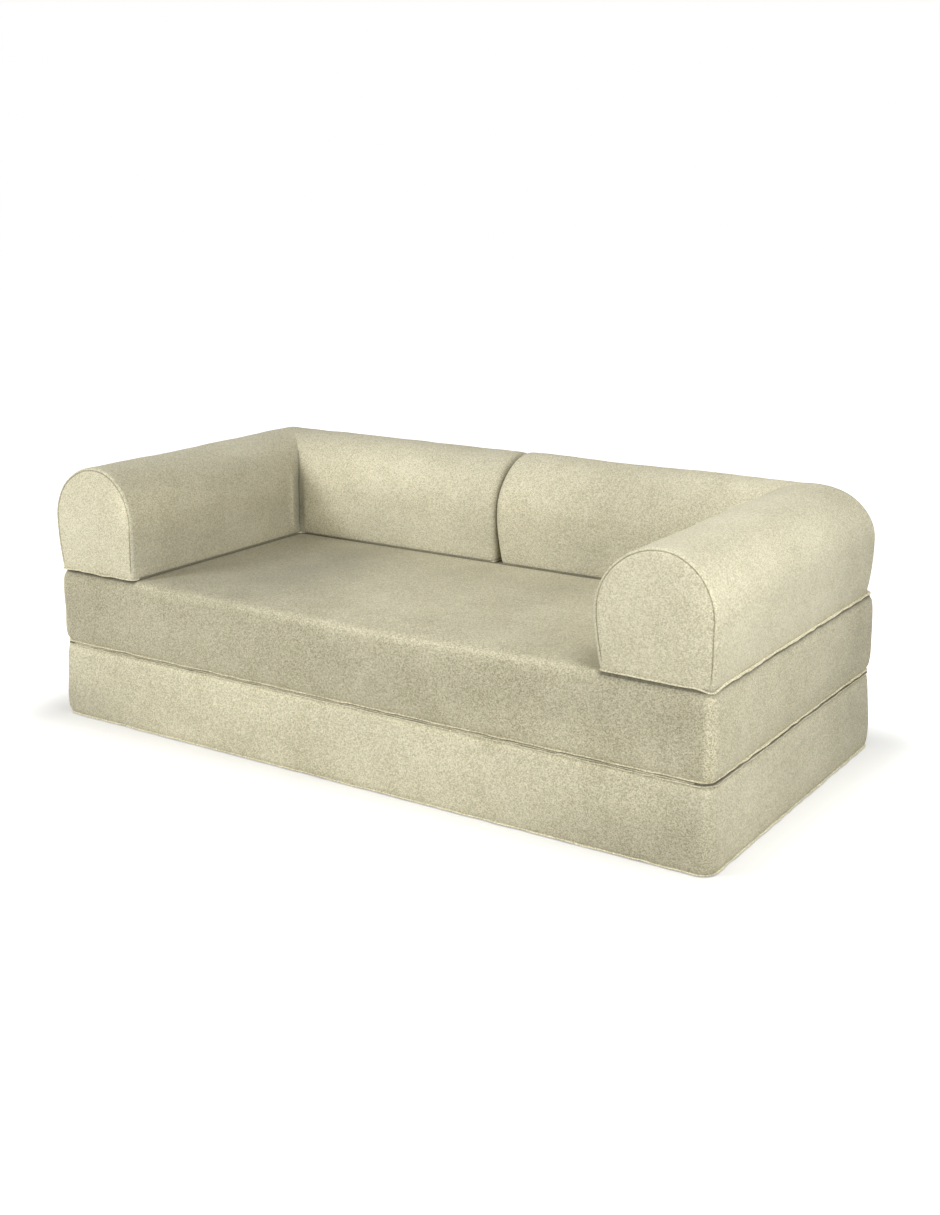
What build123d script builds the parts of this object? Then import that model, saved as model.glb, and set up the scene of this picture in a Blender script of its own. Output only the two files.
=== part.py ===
from build123d import *
import os
from math import sqrt

os.makedirs("parts", exist_ok=True)

# Foam sofa bed: two foam mattresses lie on each other and are hinged along the front, and two L-shaped
# bolsters lie on top, each one arm and half of the back. All lengths are in millimetres.
# The origin is the bottom centre, +X runs along the width, +Y to the back and +Z up.

# Overall sizes
mattress_width = 1900
mattress_depth = 950
mattress_height = 200
bolster_width = 275
bolster_height = 285

# Soft outlines: how far seams are drawn in from the fullest part of a face, and how edges roll over
mattress_draw = 8
bolster_draw = 8
end_draw = 8
end_roll = 8
seam_land = 2.5
seat_edge_radius = 24
corner_land = 8

# Cloth and filling
cover_thickness = 2
filling_fit = 0.5
pad_thickness = 20

# Lips, where two cloth edges are sewn together and stand out along a seam
lip_thickness = 2.5
lip_rise = 1
lip_corner_radius = 7

# Gaps between the parts that move
stack_gap = 0.4
centre_gap = 3
fold_reach = 3
set_down_reach = 16
leaf_gap = 0.15

# Zips in the rear faces, each in a sunk placket
mattress_zip_margin = 150
bolster_zip_margin = 155
mattress_zip_rise = 46
bolster_zip_rise = 46
placket_height = 26
placket_depth = 7.5
placket_wall = 1
chain_width = 6
chain_thickness = 2.4
chain_end_margin = 4
stop_length = 3
stop_oversize = 0.8
slider_length = 12
slider_width = 9.6
slider_corner_radius = 1.2
slider_roof = 1
slider_fit = 0.3
slider_end_play = 1
ear_length = 1.6
pin_radius = 0.6
pin_fit = 0.15
eye_radius = 1.4
ear_radius = 1.2
pull_length = 24
pull_thickness = 1.2
pull_side_play = 0.2
pull_tip_radius = 3

# Places that follow from the sizes
half_width = mattress_width / 2
half_depth = mattress_depth / 2
corner_radius = mattress_draw + seat_edge_radius + corner_land
upper_base = mattress_height + stack_gap
seat_level = upper_base + mattress_height
bolster_base = seat_level + stack_gap
spring_rise = bolster_height - bolster_width / 2
arm_middle = half_width - bolster_width / 2
back_middle = half_depth - bolster_width / 2
back_end = centre_gap / 2
fold_axis_y = -half_depth - fold_reach
fold_axis_z = mattress_height + stack_gap / 2
set_down_axis_y = half_depth + set_down_reach
set_down_axis_z = seat_level + stack_gap / 2
mattress_zip_length = mattress_width - 2 * mattress_zip_margin
bolster_zip_length = half_width - 2 * bolster_zip_margin
mitre = Plane(origin=(half_width, half_depth, 0), z_dir=(1, -1, 0))

pieces = {}


# A mattress outline, inset all round: sides that bulge between their seams, swept round the four corners
def mattress_block(base, top, inset, edge_radius):
    corner_x = half_width - corner_radius
    corner_y = half_depth - corner_radius
    full_side = -half_depth + inset
    seam_side = full_side + mattress_draw
    edge_round = edge_radius - inset
    with BuildPart() as block:
        with BuildLine(Plane.XY.offset(base)) as corner_line:
            Polyline(
                (0, -corner_y),
                (corner_x, -corner_y),
                (corner_x, corner_y),
                (-corner_x, corner_y),
                (-corner_x, -corner_y),
                (0, -corner_y),
            )
        with BuildSketch(Plane.YZ) as side:
            with BuildLine():
                Polyline((seam_side, base), (-corner_y, base), (-corner_y, top), (seam_side, top))
                ThreePointArc((seam_side, base), (full_side, (base + top) / 2), (seam_side, top))
            make_face()
            if edge_round > 0:
                fillet(side.vertices().group_by(Axis.Y)[-1].sort_by(Axis.X)[0], edge_round)
        sweep(side.sketch, path=corner_line.line, transition=Transition.ROUND)
        with BuildSketch(Plane.XY.offset(base)) as middle:
            Rectangle(2 * corner_x, 2 * corner_y)
        extrude(amount=top - base)
    return block.part


# The bolster's section: flat foot, sides that lean out to the springing, half-round top
def bolster_section(plane, inset):
    half = bolster_width / 2 - inset
    foot = half - bolster_draw
    diagonal = half / sqrt(2)
    with BuildSketch(plane) as section:
        with BuildLine():
            Line((-foot, 0), (foot, 0))
            TangentArc((half, spring_rise), (foot, 0), tangent=(0, -1))
            ThreePointArc((half, spring_rise), (diagonal, spring_rise + diagonal), (0, spring_rise + half))
            ThreePointArc((0, spring_rise + half), (-diagonal, spring_rise + diagonal), (-half, spring_rise))
            TangentArc((-half, spring_rise), (-foot, 0), tangent=(0, -1))
        make_face()
    return section.sketch


# One leg of a bolster: the section runs from a crowned, rolled end to past the corner, and is mitred there.
# end_plane lies on the end's fullest point, faces out of the bolster and has the leg's middle line as origin.
def bolster_leg(end_plane, length, inset, kept_side):
    section_plane = end_plane.offset(-inset)
    side_plane = Plane(origin=section_plane.origin, x_dir=-section_plane.z_dir, z_dir=section_plane.x_dir)
    crown_top = bolster_height - inset
    with BuildPart() as leg:
        extrude(bolster_section(section_plane, inset), amount=-(length - inset))
        with BuildSketch(side_plane) as crown:
            with BuildLine():
                Polyline((end_draw, 0), (length, 0), (length, crown_top), (end_draw, crown_top))
                ThreePointArc((end_draw, 0), (0, crown_top / 2), (end_draw, crown_top))
            make_face()
        extrude(amount=bolster_width, both=True, mode=Mode.INTERSECT)
        end_face = leg.faces().sort_by(Axis(section_plane.origin, section_plane.z_dir))[-1]
        fillet(end_face.edges().sort_by(Axis.Z)[1:], end_roll - inset)
        split(bisect_by=mitre, keep=kept_side)
    return leg.part


# The space an end cap takes: as the section, its seam a little inside the rolled edge
def cap_space(end_plane):
    with BuildPart() as space:
        extrude(bolster_section(end_plane, end_roll + seam_land), amount=-(end_draw + end_roll))
    return space.part


# A placket is sewn into a slot of its cover, and its chain lies on the bottom of it
def cut_slot(middle_x, level, length, play):
    depth = placket_depth + placket_wall + play
    with Locations((middle_x, half_depth, level)):
        Box(length + 2 * play, 2 * depth, placket_height + 2 * play, mode=Mode.SUBTRACT)


def make_zip(name, outside, middle_x, level, length):
    inner_length = length - 2 * placket_wall
    chain_length = inner_length - 2 * chain_end_margin
    web_y = half_depth - placket_depth
    chain_top = web_y + chain_thickness
    roof_top = chain_top + slider_fit + slider_roof
    pin_y = roof_top + eye_radius + slider_fit
    reach = (chain_length - slider_length) / 2 - stop_length - slider_end_play
    slider_x = middle_x + reach

    with BuildPart() as placket:
        add(outside)
        with Locations((middle_x, half_depth, level)):
            Box(length, 2 * (placket_depth + placket_wall), placket_height, mode=Mode.INTERSECT)
            Box(inner_length, 2 * placket_depth, placket_height - 2 * placket_wall, mode=Mode.SUBTRACT)
    pieces[f"{name}_zip_placket"] = placket.part

    with BuildPart() as chain:
        with BuildSketch(Plane.XZ.offset(-web_y)):
            with Locations((middle_x, level)):
                Rectangle(chain_length, chain_width)
        extrude(amount=-chain_thickness)
        fillet(chain.faces().sort_by(Axis.Y)[-1].edges().filter_by(Axis.X), chain_thickness / 3)
        with BuildSketch(Plane.XZ.offset(-web_y)):
            with Locations(*((middle_x + end * (chain_length - stop_length) / 2, level) for end in (-1, 1))):
                Rectangle(stop_length, chain_width + 2 * stop_oversize)
        extrude(amount=-(chain_thickness + stop_oversize))
    pieces[f"{name}_zip_chain"] = chain.part

    with BuildPart() as slider:
        with BuildSketch(Plane.XZ.offset(-web_y - slider_fit)):
            with Locations((slider_x, level)):
                RectangleRounded(slider_length, slider_width, slider_corner_radius)
        extrude(amount=-(roof_top - web_y - slider_fit))
        with BuildSketch(Plane.YZ.offset(slider_x)):
            with Locations((web_y, level)):
                Rectangle(
                    chain_thickness + slider_fit,
                    chain_width + 2 * slider_fit,
                    align=(Align.MIN, Align.CENTER),
                )
        extrude(amount=slider_length / 2, both=True, mode=Mode.SUBTRACT)
        for end in (-1, 1):
            with BuildSketch(Plane.YZ.offset(slider_x + end * (slider_length - ear_length) / 2)):
                with Locations((pin_y, level)):
                    Circle(ear_radius)
                with Locations(((pin_y + roof_top - slider_roof / 2) / 2, level)):
                    Rectangle(pin_y - roof_top + slider_roof / 2, 2 * ear_radius)
            extrude(amount=ear_length / 2, both=True)
        with BuildSketch(Plane.YZ.offset(slider_x)):
            with Locations((pin_y, level)):
                Circle(pin_radius)
        extrude(amount=slider_length / 2, both=True)
    pieces[f"{name}_zip_slider"] = slider.part

    with BuildPart() as pull:
        pull_width = slider_length - 2 * ear_length - 2 * pull_side_play
        with BuildSketch(Plane.XZ.offset(-pin_y)):
            with Locations((slider_x, level)):
                Rectangle(pull_width, pull_length, align=(Align.CENTER, Align.MAX))
        extrude(amount=pull_thickness / 2, both=True)
        fillet(pull.edges().filter_by(Axis.Y).group_by(Axis.Z)[0], pull_tip_radius)
        with BuildSketch(Plane.YZ.offset(slider_x)):
            with Locations((pin_y, level)):
                Circle(eye_radius)
        extrude(amount=pull_width / 2, both=True)
        with Locations((slider_x, pin_y, level)):
            Cylinder(pin_radius + pin_fit, pull_width, rotation=(0, 90, 0), mode=Mode.SUBTRACT)
    pieces[f"{name}_zip_pull"] = pull.part

    print(f"{name} zip: travel {2 * reach:.3f}, pull hinge at {slider_x:.3f}, {pin_y:.3f}, {level:.3f}")


# A lip runs round a mattress where its block is drawn in, and stops at the fullest outline
def mattress_lip(bottom, block):
    with BuildPart() as lip:
        with BuildSketch(Plane.XY.offset(bottom)):
            RectangleRounded(mattress_width, mattress_depth, corner_radius)
        extrude(amount=lip_thickness)
        add(block, mode=Mode.SUBTRACT)
    return lip.part


# Both mattresses: cover, base panel, foam core, softer pad on top, bottom lip and zip
for name, base, edge_radius in (("lower", 0, 0), ("upper", upper_base, seat_edge_radius)):
    top = base + mattress_height
    wrap = cover_thickness + filling_fit
    zip_level = base + mattress_zip_rise
    outside = mattress_block(base, top, 0, edge_radius)
    inside = mattress_block(base, top - cover_thickness, cover_thickness, edge_radius)
    filling = mattress_block(base + wrap, top - wrap, wrap, edge_radius)

    with BuildPart() as cover:
        add(outside)
        add(inside, mode=Mode.SUBTRACT)
        cut_slot(0, zip_level, mattress_zip_length, 0)
    pieces[f"{name}_cover"] = cover.part

    with BuildPart() as base_panel:
        add(inside)
        split(bisect_by=Plane.XY.offset(base + cover_thickness), keep=Keep.BOTTOM)
    pieces[f"{name}_base_panel"] = base_panel.part

    with BuildPart() as foam_core:
        add(filling)
        split(bisect_by=Plane.XY.offset(top - wrap - pad_thickness), keep=Keep.BOTTOM)
        cut_slot(0, zip_level, mattress_zip_length, filling_fit)
    pieces[f"{name}_foam_core"] = foam_core.part

    with BuildPart() as top_pad:
        add(filling)
        split(bisect_by=Plane.XY.offset(top - wrap - pad_thickness), keep=Keep.TOP)
    pieces[f"{name}_top_pad"] = top_pad.part

    pieces[f"{name}_bottom_lip"] = mattress_lip(base + lip_rise, outside)
    if name == "lower":
        pieces["lower_top_lip"] = mattress_lip(top - lip_rise - lip_thickness, outside)
    make_zip(name, outside, 0, zip_level, mattress_zip_length)

# The fabric hinge: one leaf on each front lip of the seam, meeting at the fold axis
for name, leaf_bottom, leaf_top in (
    ("lower", mattress_height - lip_rise - lip_thickness, fold_axis_z - leaf_gap),
    ("upper", fold_axis_z + leaf_gap, upper_base + lip_rise + lip_thickness),
):
    with BuildPart() as leaf:
        with BuildSketch(Plane.XY.offset(leaf_bottom)):
            with Locations((0, fold_axis_y + leaf_gap)):
                Rectangle(
                    mattress_width - 2 * corner_radius,
                    fold_reach - leaf_gap,
                    align=(Align.CENTER, Align.MIN),
                )
        extrude(amount=leaf_top - leaf_bottom)
    pieces[f"{name}_hinge_leaf"] = leaf.part

# The right bolster's two legs. The left bolster is its mirror image.
front_end = Plane(origin=(arm_middle, -half_depth, bolster_base), x_dir=(1, 0, 0), z_dir=(0, -1, 0))
centre_end = Plane(origin=(back_end, back_middle, bolster_base), x_dir=(0, -1, 0), z_dir=(-1, 0, 0))
wrap = cover_thickness + filling_fit
foam_floor = Plane.XY.offset(bolster_base + wrap)
bolster_zip_level = bolster_base + bolster_zip_rise
bolster_zip_middle = (back_end + half_width) / 2
leg_outsides = []

for leg, cap_name, end_plane, length, kept_side in (
    ("arm", "front", front_end, mattress_depth, Keep.TOP),
    ("back", "centre", centre_end, half_width - back_end, Keep.BOTTOM),
):
    outside = bolster_leg(end_plane, length, 0, kept_side)
    inside = bolster_leg(end_plane, length, cover_thickness, kept_side)
    cap_block = cap_space(end_plane)
    leg_outsides.append(outside)

    with BuildPart() as cover:
        add(outside)
        add(inside, mode=Mode.SUBTRACT)
        add(cap_block, mode=Mode.SUBTRACT)
        if leg == "back":
            cut_slot(bolster_zip_middle, bolster_zip_level, bolster_zip_length, 0)
    pieces[f"right_{leg}_cover"] = cover.part

    with BuildPart() as end_cap:
        add(outside)
        add(inside, mode=Mode.SUBTRACT)
        add(cap_block, mode=Mode.INTERSECT)
    pieces[f"right_{cap_name}_cap"] = end_cap.part

    with BuildPart() as base_panel:
        add(inside)
        split(bisect_by=Plane.XY.offset(bolster_base + cover_thickness), keep=Keep.BOTTOM)
    pieces[f"right_{leg}_base_panel"] = base_panel.part

    with BuildPart() as foam:
        add(bolster_leg(end_plane, length, wrap, kept_side))
        split(bisect_by=foam_floor, keep=Keep.TOP)
        if leg == "back":
            cut_slot(bolster_zip_middle, bolster_zip_level, bolster_zip_length, filling_fit)
    pieces[f"right_{leg}_foam"] = foam.part

make_zip("right", leg_outsides[1], bolster_zip_middle, bolster_zip_level, bolster_zip_length)

with BuildPart() as bolster_lip:
    inner_x = half_width - bolster_width
    inner_y = half_depth - bolster_width
    with BuildSketch(Plane.XY.offset(bolster_base + lip_rise)) as outline:
        with BuildLine():
            Polyline(
                (back_end, half_depth),
                (half_width, half_depth),
                (half_width, -half_depth),
                (inner_x, -half_depth),
                (inner_x, inner_y),
                (back_end, inner_y),
                close=True,
            )
        make_face()
        outer_corners = outline.vertices().filter_by(lambda v: (v.X, v.Y) != (inner_x, inner_y))
        fillet(outer_corners, lip_corner_radius)
    extrude(amount=lip_thickness)
    for leg_outside in leg_outsides:
        add(leg_outside, mode=Mode.SUBTRACT)
pieces["right_lip"] = bolster_lip.part

for right_name in [name for name in pieces if name.startswith("right_")]:
    with BuildPart() as mirrored:
        add(pieces[right_name])
        mirror(about=Plane.YZ, mode=Mode.REPLACE)
    pieces[right_name.replace("right_", "left_")] = mirrored.part

for name, piece in pieces.items():
    piece.label = name
    export_step(piece, f"parts/{name}.step")

print(f"fold axis at y {fold_axis_y:.3f}, z {fold_axis_z:.3f}")
print(f"bolster set-down axis at y {set_down_axis_y:.3f}, z {set_down_axis_z:.3f}")
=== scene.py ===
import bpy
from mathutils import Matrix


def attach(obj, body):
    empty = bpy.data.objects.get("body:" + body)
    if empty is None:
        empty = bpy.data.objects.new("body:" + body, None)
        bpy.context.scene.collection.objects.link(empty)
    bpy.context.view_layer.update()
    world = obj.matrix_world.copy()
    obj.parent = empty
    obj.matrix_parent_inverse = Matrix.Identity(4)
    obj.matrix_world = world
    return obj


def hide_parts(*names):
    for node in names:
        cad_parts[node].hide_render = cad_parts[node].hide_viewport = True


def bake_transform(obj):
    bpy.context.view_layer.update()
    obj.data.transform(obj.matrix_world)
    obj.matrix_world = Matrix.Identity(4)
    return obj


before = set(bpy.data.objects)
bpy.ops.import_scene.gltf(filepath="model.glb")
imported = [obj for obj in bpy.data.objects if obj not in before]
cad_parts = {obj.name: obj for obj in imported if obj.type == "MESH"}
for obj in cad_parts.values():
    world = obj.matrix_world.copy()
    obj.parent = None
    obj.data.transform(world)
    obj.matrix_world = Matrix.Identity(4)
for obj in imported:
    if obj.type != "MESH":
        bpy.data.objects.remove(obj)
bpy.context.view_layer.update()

import math
import bpy
import numpy as np
from mathutils import Matrix, Vector

mm = 0.001
tiny = 1e-6          # metres, below which two places are the same
scene = bpy.context.scene


# Camera
cameraValues = {
    "place": (2.191, -3.243, 1.417),
    "turn": 33.47,            # degrees to the left of straight ahead
    "tilt": 12.42,            # degrees down
    "roll": -0.10,            # degrees
    "sensor": 36,             # mm
    "focalPixels": 1564,      # focal length in pixels of the 940 x 1215 image
    "axisAboveMiddle": 86,    # pixels from the image's middle to the lens's axis
    "imageHeight": 1215,
}


# A lens with its axis off the image's middle, on a camera that is turned, tilted and rolled
def makeCamera(v):
    data = bpy.data.cameras.new("photoCamera")
    data.sensor_width = v["sensor"]
    data.lens = v["sensor"] * v["focalPixels"] / v["imageHeight"]
    data.shift_y = -v["axisAboveMiddle"] / v["imageHeight"]
    camera = bpy.data.objects.new("photoCamera", data)
    scene.collection.objects.link(camera)
    turn, tilt, roll = (math.radians(a) for a in (v["turn"], 90 - v["tilt"], v["roll"]))
    turned = Matrix.Rotation(turn, 4, "Z") @ Matrix.Rotation(tilt, 4, "X") @ Matrix.Rotation(roll, 4, "Z")
    camera.matrix_world = Matrix.Translation(v["place"]) @ turned
    scene.camera = camera


makeCamera(cameraValues)
print("camera placed")


# Materials

# An sRGB hex colour as linear red, green, blue and 1
def toLinear(hexColour):
    parts = [int(hexColour[i:i + 2], 16) / 255 for i in (1, 3, 5)]
    return tuple(c / 12.92 if c <= 0.04045 else ((c + 0.055) / 1.055) ** 2.4 for c in parts) + (1,)


# Adds a shader node: inputs give a socket a value, or a link as (node, output), and settings are its properties
def addNode(tree, kind, inputs=None, **settings):
    node = tree.nodes.new("ShaderNode" + kind)
    for name, value in settings.items():
        setattr(node, name, value)
    for socket, given in (inputs or {}).items():
        if isinstance(given, tuple) and isinstance(given[0], bpy.types.Node):
            tree.links.new(given[0].outputs[given[1]], node.inputs[socket])
        else:
            node.inputs[socket].default_value = given
    return node


# A new material with its tree, and the Object coordinates as a link for its patterns
def newMaterial(name):
    material = bpy.data.materials.new(name)
    material.use_nodes = True
    tree = material.node_tree
    tree.nodes.clear()
    return material, tree, (addNode(tree, "TexCoord"), "Object")


# Scale of a wave pattern in which two threads of the given width, in mm, make one wave
def threadScale(width):
    return math.pi / (20 * width * mm)


# Chenille upholstery: short tufted pile. It gives the eye a salt-and-pepper grain, patches where the pile
# leans another way, and a pale bloom where the surface turns away.
chenilleValues = {
    "tuft": (2.2, 0.80),      # mm across one tuft, and its share in the shade
    # noises: mm across, detail, roughness, distortion, and the share in the shade
    "fibre": (1.1, 2.0, 0.70, 0.0, 0.50),     # drawn coarser than the real fibre so that it shows
    "clump": (2.9, 2.0, 0.60, 0.0, 0.55),     # clumps of tufts
    "lean": (210.0, 3.0, 0.55, 0.0, 0.50),    # patches of leaning pile
    "smudge": (62.0, 3.0, 0.60, 0.4, 0.30),   # marks that hands leave in it
    "shadeRange": (0.87, 1.83),               # the sums of the shares that give the deep and the pale colour
    "lessYellow": (0.007, 0.022, 0.055),      # added to the colour where the seat throws its yellow light
    "pileHeight": 1.5,                        # mm
    "dome": (-0.75, 0.8),                     # a tuft's height: times the distance from its middle, plus
    "fuzz": 0.55,                             # height of the fibres on it
    "bump": 0.55, "roughness": 0.95, "specular": 0.15, "sheen": 0.32, "sheenRoughness": 0.55,
    "sheenTint": "#fffbe8",
}


def chenille(name, pale, middle, deep, v=chenilleValues):
    material, tree, place = newMaterial(name)
    tufts = addNode(tree, "TexVoronoi", {"Vector": place, "Scale": 1000 / v["tuft"][0], "Randomness": 1.0},
                    feature="F1")
    noises = {}
    for label in ("fibre", "clump", "lean", "smudge"):
        size, detail, roughness, distortion, _ = v[label]
        noises[label] = addNode(tree, "TexNoise", {"Vector": place, "Scale": 1000 / size, "Detail": detail,
                                                   "Roughness": roughness, "Distortion": distortion})
    # each tuft has its own shade, from the cell's random colour, and the noises add theirs
    cell = addNode(tree, "SeparateColor", {"Color": (tufts, "Color")})
    shade = addNode(tree, "Math", {0: (cell, "Red"), 1: v["tuft"][1]}, operation="MULTIPLY")
    for label, noise in noises.items():
        shade = addNode(tree, "Math", {0: (noise, "Fac"), 1: v[label][-1], 2: (shade, 0)}, operation="MULTIPLY_ADD")
    low, high = v["shadeRange"]
    shade = addNode(tree, "MapRange", {"Value": (shade, 0), "From Min": low, "From Max": high})
    ramp = addNode(tree, "ValToRGB", {"Fac": (shade, "Result")})
    ramp.color_ramp.elements[0].color = toLinear(deep)
    ramp.color_ramp.elements[1].color = toLinear(pale)
    ramp.color_ramp.elements.new(0.5).color = toLinear(middle)
    # the nap attribute, a panel's own lean of the pile together with painted light and shade, makes it paler or
    # deeper, with a painted highlight on the bends
    nap = addNode(tree, "Attribute", attribute_name="nap")
    strength = addNode(tree, "Math", {0: (nap, "Fac"), 1: 1.0}, operation="ADD")
    napAndLightColour = addNode(tree, "VectorMath", {0: (ramp, "Color"), "Scale": (strength, 0)}, operation="SCALE")
    # painted light: low on the seat sides the colour is made less yellow, to take out the yellow light that the seat
    # throws there
    cool = addNode(tree, "Attribute", attribute_name="cool")
    bounceCorrected = addNode(tree, "VectorMath", {0: (cool, "Fac"), 1: v["lessYellow"], 2: (napAndLightColour, "Vector")},
                     operation="MULTIPLY_ADD")
    # the pile's height: domed tufts with fine fibre on them
    slope, base = v["dome"]
    dome = addNode(tree, "Math", {0: (tufts, "Distance"), 1: slope, 2: base}, operation="MULTIPLY_ADD")
    height = addNode(tree, "Math", {0: (noises["fibre"], "Fac"), 1: v["fuzz"], 2: (dome, 0)},
                     operation="MULTIPLY_ADD")
    bump = addNode(tree, "Bump", {"Height": (height, 0), "Strength": v["bump"], "Distance": v["pileHeight"] * mm})
    shader = addNode(tree, "BsdfPrincipled", {
        "Base Color": (bounceCorrected, "Vector"), "Normal": (bump, "Normal"), "Roughness": v["roughness"],
        "Specular IOR Level": v["specular"], "Sheen Weight": v["sheen"], "Sheen Roughness": v["sheenRoughness"],
        "Sheen Tint": toLinear(v["sheenTint"])})
    addNode(tree, "OutputMaterial", {"Surface": (shader, 0)})
    return material


# Woven polyester base cloth: a flat plain weave, matt, one thread each 0.9 mm drawn at 1.8 mm
def baseCloth(name, colour, shadow, thread=1.8):
    material, tree, place = newMaterial(name)
    warp, weft = (addNode(tree, "TexWave", {"Vector": place, "Scale": threadScale(thread), "Distortion": 0.4},
                          bands_direction=way, wave_profile="SIN") for way in ("X", "Y"))
    weave = addNode(tree, "Math", {0: (warp, "Fac"), 1: (weft, "Fac")}, operation="MULTIPLY")
    bump = addNode(tree, "Bump", {"Height": (weave, 0), "Strength": 0.4, "Distance": 0.4 * mm})
    mix = addNode(tree, "Mix", {"Factor": (weave, 0), "A": toLinear(shadow), "B": toLinear(colour)}, data_type="RGBA")
    shader = addNode(tree, "BsdfPrincipled", {"Base Color": (mix, "Result"), "Normal": (bump, "Normal"),
                                              "Roughness": 0.85, "Specular IOR Level": 0.25, "Sheen Weight": 0.1})
    addNode(tree, "OutputMaterial", {"Surface": (shader, 0)})
    return material


# Cut polyurethane foam: open cells of about 1.5 mm, drawn at 3 mm, with a dull, slightly yellowed skin
def cutFoam(name, colour, pore, cell, stained=120):
    material, tree, place = newMaterial(name)
    cells = addNode(tree, "TexVoronoi", {"Vector": place, "Scale": 1000 / cell}, feature="SMOOTH_F1")
    stain = addNode(tree, "TexNoise", {"Vector": place, "Scale": 1000 / stained, "Detail": 2.0})
    depth = addNode(tree, "Math", {0: (stain, "Fac"), 1: 0.4, 2: (cells, "Distance")}, operation="MULTIPLY_ADD")
    bump = addNode(tree, "Bump", {"Height": (cells, "Distance"), "Strength": 0.6, "Distance": 0.8 * mm})
    mix = addNode(tree, "Mix", {"Factor": (depth, 0), "A": toLinear(pore), "B": toLinear(colour)}, data_type="RGBA")
    shader = addNode(tree, "BsdfPrincipled", {"Base Color": (mix, "Result"), "Normal": (bump, "Normal"),
                                              "Roughness": 0.9, "Specular IOR Level": 0.2})
    addNode(tree, "OutputMaterial", {"Surface": (shader, 0)})
    return material


# Woven polyester zip tape: a fine herringbone running along the zip, with a dry, faint shine
def zipTape(name, colour, shadow, thread=1.2):
    material, tree, place = newMaterial(name)
    rows = addNode(tree, "TexWave", {"Vector": place, "Scale": threadScale(thread), "Distortion": 0.2},
                   bands_direction="DIAGONAL", wave_profile="TRI")
    bump = addNode(tree, "Bump", {"Height": (rows, "Fac"), "Strength": 0.4, "Distance": 0.25 * mm})
    mix = addNode(tree, "Mix", {"Factor": (rows, 0), "A": toLinear(shadow), "B": toLinear(colour)}, data_type="RGBA")
    shader = addNode(tree, "BsdfPrincipled", {"Base Color": (mix, "Result"), "Normal": (bump, "Normal"),
                                              "Roughness": 0.7, "Sheen Weight": 0.15})
    addNode(tree, "OutputMaterial", {"Surface": (shader, 0)})
    return material


# Nylon monofilament of a coil zip: smooth, slightly waxy plastic with a faint haze, patches of 9 mm
def nylonCoil(name, colour, shadow, patch=9):
    material, tree, place = newMaterial(name)
    haze = addNode(tree, "TexNoise", {"Vector": place, "Scale": 1000 / patch, "Detail": 2.0})
    mix = addNode(tree, "Mix", {"Factor": (haze, 0), "A": toLinear(shadow), "B": toLinear(colour)}, data_type="RGBA")
    shader = addNode(tree, "BsdfPrincipled", {"Base Color": (mix, "Result"), "Roughness": 0.38, "IOR": 1.53})
    addNode(tree, "OutputMaterial", {"Surface": (shader, 0)})
    return material


# Die-cast zinc, nickel plated and barrel tumbled: a soft bright metal with fine random scratches, 1.4 mm long
def tumbledNickel(name, colour, dull, scratch=1.4):
    material, tree, place = newMaterial(name)
    scratches = addNode(tree, "TexNoise", {"Vector": place, "Scale": 1000 / scratch, "Detail": 4.0,
                                           "Roughness": 0.7})
    rough = addNode(tree, "MapRange", {"Value": (scratches, "Fac"), "To Min": 0.24, "To Max": 0.46})
    bump = addNode(tree, "Bump", {"Height": (scratches, "Fac"), "Strength": 0.15, "Distance": 0.05 * mm})
    mix = addNode(tree, "Mix", {"Factor": (scratches, 0), "A": toLinear(dull), "B": toLinear(colour)},
                  data_type="RGBA")
    shader = addNode(tree, "BsdfPrincipled", {"Base Color": (mix, "Result"), "Metallic": 1.0,
                                              "Roughness": (rough, "Result"), "Normal": (bump, "Normal")})
    addNode(tree, "OutputMaterial", {"Surface": (shader, 0)})
    return material


paleChenille = chenille("paleChenille", "#f6f0d8", "#dcd5b7", "#b3ac8d")
bolsterChenille = chenille("bolsterChenille", "#f2ecd3", "#dcd5b8", "#bab395")    # stretched tighter, so calmer
greyedChenille = chenille("greyedChenille", "#e2dcc3", "#c7c0a3", "#9f987c")
nonSlipCloth = baseCloth("nonSlipBaseCloth", "#b9b39c", "#8f8a75")
firmFoam = cutFoam("firmCutFoam", "#e9dfb9", "#c8bb8c", 3.0)
plushFoam = cutFoam("plushCutFoam", "#f4efe0", "#d9d0b6", 2.4)
tapeCloth = zipTape("wovenZipTape", "#c9c2a4", "#a9a284")
coilNylon = nylonCoil("nylonZipCoil", "#d8d1b4", "#c2bb9d")
nickel = tumbledNickel("tumbledNickel", "#c9c8c4", "#a3a29d")
print("materials made")


# Meshes from grids

# A mesh object: faces are arrays of quads or triangles, and tones are attributes with one value a point
def meshObject(name, points, faces, material, smooth=True, **tones):
    mesh = bpy.data.meshes.new(name)
    mesh.from_pydata(points.tolist(), [], [tuple(f) for part in faces for f in part.tolist()])
    mesh.polygons.foreach_set("use_smooth", np.full(len(mesh.polygons), smooth))
    mesh.materials.append(material)
    mesh.update()
    mesh.validate()
    for label, values in tones.items():
        mesh.attributes.new(label, "FLOAT", "POINT").data.foreach_set("value", np.array(values, np.float32))
    obj = bpy.data.objects.new(name, mesh)
    scene.collection.objects.link(obj)
    return obj


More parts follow.
